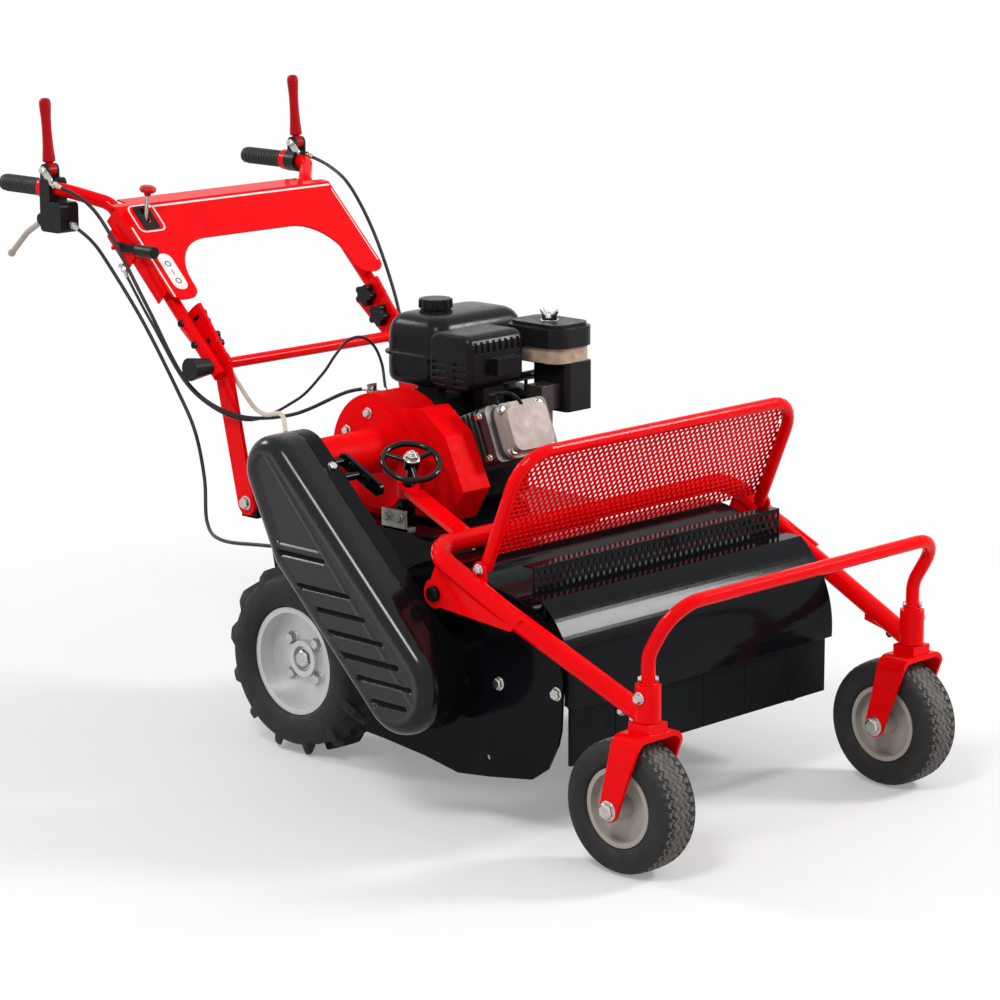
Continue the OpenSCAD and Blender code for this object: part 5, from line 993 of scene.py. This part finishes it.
# %% Shift lever
SHIFT_LEAN = math.radians(9)
shift_root = on_handle(308, GATE_Y, 2)
shift_way = Vector((math.sin(SHIFT_LEAN), 0, math.cos(SHIFT_LEAN)))
rod = [turned([(0, 4.4), (30, 4.4), (34, 3.9), (76, 3.9)], shift_root, shift_way, 20),
       turned([(-8, 8.8), (-7, 9), (7, 9), (8, 8.8)], shift_root, (0, 1, 0), 28)]
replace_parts(new_piece("shift_rod", heap(*rod), "zinc", "shift_lever"), "shift_lever")
knob_shape = turned([(70, 4), (71, 6), (76, 7), (78, 13), (80, 15), (84, 15.4), (87, 14), (89, 10), (90, 5),
                     (90, 0.3)], shift_root, shift_way, 36)
knob = new_piece("shift_knob", knob_shape, "knob_red", "shift_lever", sharp=50)
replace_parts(knob, "shift_lever")

# %% [markdown]
# ## Cable ends
# Most cables end in a threaded barrel with a lock nut, which takes up the slack. The barrels are short
# turned parts set along the first or the last stretch of a cable. A thread could be wound on them as a
# helix, but it is too fine to be seen from where the camera stands, so they are plain.

# %% Cable ends
def barrel(start, toward, size=1.0):
    base, way = Vector(start), (Vector(toward) - Vector(start)).normalized()
    body = turned([(0, 6 * size), (5, 6 * size), (5, 4.8 * size), (17, 4.8 * size), (19, 4 * size),
                   (24, 4 * size), (25, 3.4 * size)], base, way, 20)
    nut = turned([(6, 7.4 * size), (10, 7.4 * size)], base, way, 6)
    return heap(body, nut)


upper = []
for name in ("clutch_cable_right", "brake_cable", "clutch_cable_left"):
    stops = ROUTES[name][1]
    upper.append(barrel(at(*stops[0]), smooth_line(stops)[4]))
new_piece("upper_cable_ends", heap(*upper), "zinc", "handle")
lower = []
for name in ("clutch_cable_right", "clutch_cable_left", "throttle_cable"):
    stops = ROUTES[name][1]
    lower.append(barrel(at(*stops[-1]), smooth_line(stops)[-4], 0.9))
new_piece("lower_cable_ends", heap(*lower), "zinc", "machine")

# %% [markdown]
# ## Small engine parts
# A pale band of filter shows between the two halves of the air cleaner. A spark plug cap with its lead sits
# on the cylinder, and a fuel hose runs from the tank to the carburettor. Each could be a primitive with
# modifiers, but a ring, a turned profile and a carried ring say the same in a line or two.

# %% Small engine parts
def flat_ring(x, y, wide, deep, corner, z0, z1):
    ring = round_ring(x, y, wide, deep, corner)
    return [at(px, py, z) for z in (z0, z1) for px, py in ring], skin(2, len(ring))


FILTER_X, FILTER_Y = 262, 121
band = flat_ring(FILTER_X, FILTER_Y, 125, 93, 24, 699.5, 726.5)
new_piece("filter_band", band, "filter_band", "machine")
plug_base = at(*on_head(96, -62, 50))
plug_way = Vector((0.25, -0.35, 0.9)).normalized()
PLUG_CAP = [(-4, 6), (2, 6), (2, 9), (8, 9), (10, 7.5), (26, 7), (28, 5), (29, 0.3)]
LEAD = ((0, 0, 0), (14, 2, 6), (28, 16, 4), (30, 36, -12), (12, 58, -30), (-18, 70, -42))
lead_start = plug_base + plug_way * mm(22)
lead_line = eased([lead_start + Vector(mm(*p)) for p in LEAD], 6)
plug = [turned(PLUG_CAP, plug_base, plug_way, 24), carried(lead_line, mm(3.2))]
new_piece("plug_cap_and_lead", heap(*plug), "black_plastic", "machine")
fuel_line = smooth_line([(150, 84, 664), (178, 88, 652), (214, 90, 632), (246, 84, 634), (276, 76, 640)])
new_piece("fuel_hose", carried(fuel_line, mm(4.2)), "cable_sheath", "machine")

# %% [markdown]
# ## Wing nut, clips and bracket
# A wing nut holds the lid of the air cleaner, small plates hold the ends of cables, and a bracket stands
# beside the handwheel's spindle. The plates could be cubes that are scaled, but two corners say where a box
# is more plainly. The wings are carried rings that swell in the middle.

# %% Wing nut, clips and bracket
def slab(low, high):
    points = [at(x, y, z) for z in (low[2], high[2]) for y in (low[1], high[1]) for x in (low[0], high[0])]
    return points, [(0, 1, 3, 2), (4, 6, 7, 5), (0, 4, 5, 1), (2, 3, 7, 6), (0, 2, 6, 4), (1, 5, 7, 3)]


WING_BASE = [(0, 17), (1.5, 17), (2, 16), (2, 8), (9, 6.5), (12, 5), (12, 2.8), (16, 2.8), (17, 1.8)]
WING_RISE = ((4, 774), (9, 778), (13, 783), (15.5, 787))
wing = [turned(WING_BASE, at(FILTER_X, FILTER_Y, 767.6), (0, 0, 1), 28)]
for side in (-1, 1):
    ear = [at(FILTER_X + side * r, FILTER_Y + side * r * 0.25, z) for r, z in WING_RISE]
    wing.append(carried(ear, lambda f: mm(3.6 + 1.2 * math.sin(f * math.pi)), 10))
new_piece("wing_nut", heap(*wing), "zinc", "machine", sharp=50)
clips = [slab((88, -160, 645), (104, -140, 656)), slab((88, -160, 645), (92, -140, 668)),
         slab((84, -93, 612), (92, -77, 634)),
         slab((218, -251, 446.5), (276, -246, 482)), slab((218, -251, 446.5), (276, -226, 451))]
clips += [hex_bolt((x, -251, 468), (0, -1, 0), 13, 6) for x in (232, 262)]
new_piece("cable_clips_and_bracket", heap(*clips), "dull_plate", "machine", sharp=30)
throttle_clip = [barrel(at(-439, -271, 836), at(-425, -272, 815), 0.9),
                 slab((-446, -276, 832), (-434, -266, 840))]
new_piece("throttle_clip", heap(*throttle_clip), "zinc", "handle", sharp=30)

# %% [markdown]
# ## Fuel tank
# The tank is pressed from two halves that meet in a flange below the middle. A box with a Bevel modifier
# has neither the flange nor the crown. A stack of rounded rings has both: each ring is a little smaller
# where the shell curves in, and the last rings close the crowned top under the filler neck.

# %% Fuel tank
TANK_RINGS = [
    (40, 650.5), (22, 650.5), (14, 652.5), (9, 656.5), (6.2, 662), (5.2, 668), (5, 690), (5, 702.6),
    (4.4, 703.4), (0.4, 703.6), (0, 704.2), (0, 707.8), (0.4, 708.4), (4.6, 708.6), (5.2, 709.4), (5.6, 716),
    (6, 736), (6.6, 744), (8, 752), (10.6, 759.6), (14.4, 766), (19.6, 771.2), (26, 774.8), (34, 776.6),
    (46, 777.6), (60, 778), (74, 778.2)]
TANK_X, TANK_Y, TANK_LONG, TANK_WIDE = 90, 57, 156, 238


def tank_shell():
    points = []
    for inset, z in TANK_RINGS:
        long, wide = TANK_LONG - 2 * inset, TANK_WIDE - 2 * inset
        corner = max(34 - inset * 0.35, 10) if inset < 50 else max(70 - inset, 4)
        ring = round_ring(TANK_X, TANK_Y, long, wide, min(corner, long / 2 - 0.2), 9)
        points += [at(x, y, z) for x, y in ring]
    return points, skin(len(TANK_RINGS), len(ring))


NECK = [(-12, 23), (0.5, 23), (1.5, 20.5), (9.5, 19.8)]
tank_parts = [tank_shell(), turned(NECK, at(74, 24, 778), (0, 0, 1), 40)]
tank_parts += [slab((96, y, 645.3), (148, y + 22, 656)) for y in (-44, 62)]
tank = new_piece("fuel_tank_shell", heap(*tank_parts), "tank_black", "machine", sharp=44)
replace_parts(tank, "fuel_tank")

# %% [markdown]
# ## Starter cover
# The left end of the engine carries the pull starter: a pressed cover with a ring of air slots and a
# T-shaped handle. Booleans could cut the slots right through, but there is nothing to see behind them. The
# front is a polar grid, and five of every eight steps are sunk where the slots are.

# %% Starter cover
COVER_RINGS = [(75, 96), (75, 138), (74, 142), (71, 145), (66, 146), (58, 146), (56.5, 147.5), (55, 153),
               (53, 155.4), (50, 156), (47.5, 156), (47, 156), (33, 156), (32.5, 156), (26, 156),
               (24.5, 157.5), (14, 158.5), (1, 158.8)]
SLOT_RINGS, SLOT_DEEP, STARTER_X, STARTER_Z = (11, 12), 5, 163, 568


def starter_cover(steps=96):
    points = []
    for number, (radius, y) in enumerate(COVER_RINGS):
        for k in range(steps):
            sunk = SLOT_DEEP if number in SLOT_RINGS and k % 8 < 5 else 0
            points.append(at(*circle_place(STARTER_X, y - sunk, STARTER_Z, radius, 360 * k / steps)))
    return points, skin(len(COVER_RINGS), steps)


def pull_radius(f):
    return mm(9.4 * min(1, 0.35 + 5 * min(f, 1 - f)) - 1.2 * math.sin(f * math.pi))


PULL_X = 205
pull_grip = carried([at(PULL_X, y, 661) for y in (76, 78, 83, 94, 111, 128, 139, 144, 146)], pull_radius, 18)
pull_neck = carried([at(PULL_X, 120, z) for z in (655, 640, 622)], mm(3.4), 12)
starter_parts = heap(starter_cover(), pull_grip, pull_neck)
starter = new_piece("starter_cover", starter_parts, "engine_black", "machine", sharp=40)
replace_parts(starter, "recoil_starter")
starter_bolts = [hex_bolt(circle_place(STARTER_X, 145.6, STARTER_Z, 66, a), (0, 1, 0), 9, 4)
                 for a in (30, 150, 270)]
new_piece("starter_bolts", heap(*starter_bolts), "zinc", "machine")

# %% [markdown]
# ## Gearbox cover
# The gearbox between the wheels is a casting with a bolted cover and ribs on its back. It could be modelled
# with drafts and fillets, but it hides between the wheels: boxes are enough, and the finish rounds their
# edges.

# %% Gearbox cover
COVER_X, CASE_X = -92, -85.5
gear_parts = [slab((COVER_X, -78, 168), (CASE_X, 78, 372))]
gear_parts += [slab((-97, y - 3, 180), (-91.5, y + 3, 360)) for y in (-50, -17, 17, 50)]
gear_parts += [slab((-89, -107, z - 4), (CASE_X, 107, z + 4)) for z in (392, 412)]
new_piece("gearbox_cover", heap(*gear_parts), "gear_grey", "machine", sharp=30)
COVER_BOLTS = [(y, z) for y in (-68, 68) for z in (182, 270, 358)] + [(0, 182), (0, 358)]
cover_bolts = [hex_bolt((COVER_X, y, z), (-1, 0, 0), 13, 6) for y, z in COVER_BOLTS]
new_piece("gearbox_bolts", heap(*cover_bolts), "zinc", "machine")

# %% [markdown]
# ## Weld beads
# The frame is welded from tubes and plates. A weld is a thin bead with small ripples, painted over with the
# frame. A bump texture would need to know where each joint is. A bead of its own lies right on the joint:
# it is a carried ring whose radius goes up and down along the line.

# %% Weld beads
def bead(centre, axis, radius, thick=2.4, steps=72):
    _, side, other = frame_axes(axis)
    line = [at(*centre) + on_circle(side, other, k / steps) * mm(radius) for k in range(steps + 1)]
    return carried(line, lambda f: mm(thick * (1 + 0.16 * math.sin(f * steps * 1.9))), 8)


beads = []
for side in (-1, 1):
    beads += [bead((STEM_X, side * STEM_Y, 316), (0, 0, 1), 12.6),
              bead((PIVOT_X, side * 372.6, PIVOT_Z), (0, 1, 0), 21)]
new_piece("frame_welds", heap(*beads), "red_paint", "front", sharp=60)

# %% [markdown]
# ## Floor
# The mower stands on a pale studio floor that fades into white a step or two away, so that no horizon
# shows. In a studio a bent sheet does that. Here a glow that only the camera and reflections see is mixed
# into one flat plate, which adds no light to the mower and keeps its shadow.

# %% Floor
def seen_ray(tree):
    path = add_node(tree, "LightPath").outputs
    seen = combine(tree, path["Is Camera Ray"], path["Is Glossy Ray"], "MAXIMUM")
    return combine(tree, seen, path["Is Transmission Ray"], "MAXIMUM")


FLOOR_SIZE, FADE_FROM, FADE_TO = 30.0, 0.8, 2.1
floor_mesh = bmesh.new()
bmesh.ops.create_grid(floor_mesh, x_segments=8, y_segments=8, size=FLOOR_SIZE / 2)
floor_data = bpy.data.meshes.new("floor")
floor_mesh.to_mesh(floor_data)
floor_mesh.free()
floor = bpy.data.objects.new("floor", floor_data)
floor.location.z = -0.0005
bpy.context.collection.objects.link(floor)
pale, tree, shader, where = new_finish("pale_floor")
for socket, value in (("Base Color", (0.78, 0.78, 0.78, 1)), ("Roughness", 0.9), ("Specular IOR Level", 0.1)):
    shader.inputs[socket].default_value = value
far = add_node(tree, "VectorMath", {0: where}, operation="LENGTH").outputs["Value"]
far = add_node(tree, "MapRange", {0: far, 1: FADE_FROM, 2: FADE_TO, 3: 0.25, 4: 1.0},
               interpolation_type="SMOOTHSTEP").outputs[0]
white_share = combine(tree, far, seen_ray(tree), "MULTIPLY")
glow = add_node(tree, "Emission", {"Color": (1, 1, 1, 1), "Strength": 1.0})
cover = add_node(tree, "MixShader", {0: white_share, 1: shader.outputs[0], 2: glow.outputs[0]})
tree.links.new(cover.outputs[0], tree.nodes["Material Output"].inputs["Surface"])
floor_data.materials.append(pale)
print("floor", FLOOR_SIZE, "m wide")

# %% [markdown]
# ## Lamps and sky
# One lamp hangs high at the right, one at the front left draws a bright line along the hood, and a weaker
# one stands at the back right. A sky picture could light the mower alone, but lamps can be moved one by
# one. The sky is white to the camera and to reflections, and a softer grey as light, so shadows keep their
# depth.

# %% Lamps and sky
def soft_lamp(name, place, aim, size, power):
    lamp = bpy.data.lights.new(name, "AREA")
    lamp.shape, lamp.size, lamp.energy = "DISK", size, power
    holder = bpy.data.objects.new(name, lamp)
    holder.location = place
    holder.rotation_euler = (Vector(aim) - Vector(place)).to_track_quat("-Z", "Y").to_euler()
    bpy.context.collection.objects.link(holder)


soft_lamp("key_lamp", (1.5, -3.4, 4.3), (0, 0, 0.5), 1.3, 112)
soft_lamp("left_lamp", (2.5, 2.7, 2.6), (0, 0, 0.4), 1.0, 105)
soft_lamp("side_lamp", (-3.4, -1.6, 3.0), (0, 0, 0.6), 1.2, 60)
sky = bpy.data.worlds.new("sky")
sky.use_nodes = True
bpy.context.scene.world = sky
tree = sky.node_tree
SKY_LIGHT, SKY_SEEN = 0.55, 1.0
strength = add_node(tree, "MapRange", {0: seen_ray(tree), 3: SKY_LIGHT, 4: SKY_SEEN}).outputs[0]
backdrop = tree.nodes["Background"]
backdrop.inputs["Color"].default_value = (1, 1, 1, 1)
tree.links.new(strength, backdrop.inputs["Strength"])
bpy.context.scene.view_settings.view_transform = "Standard"
print("lamps and sky are set")
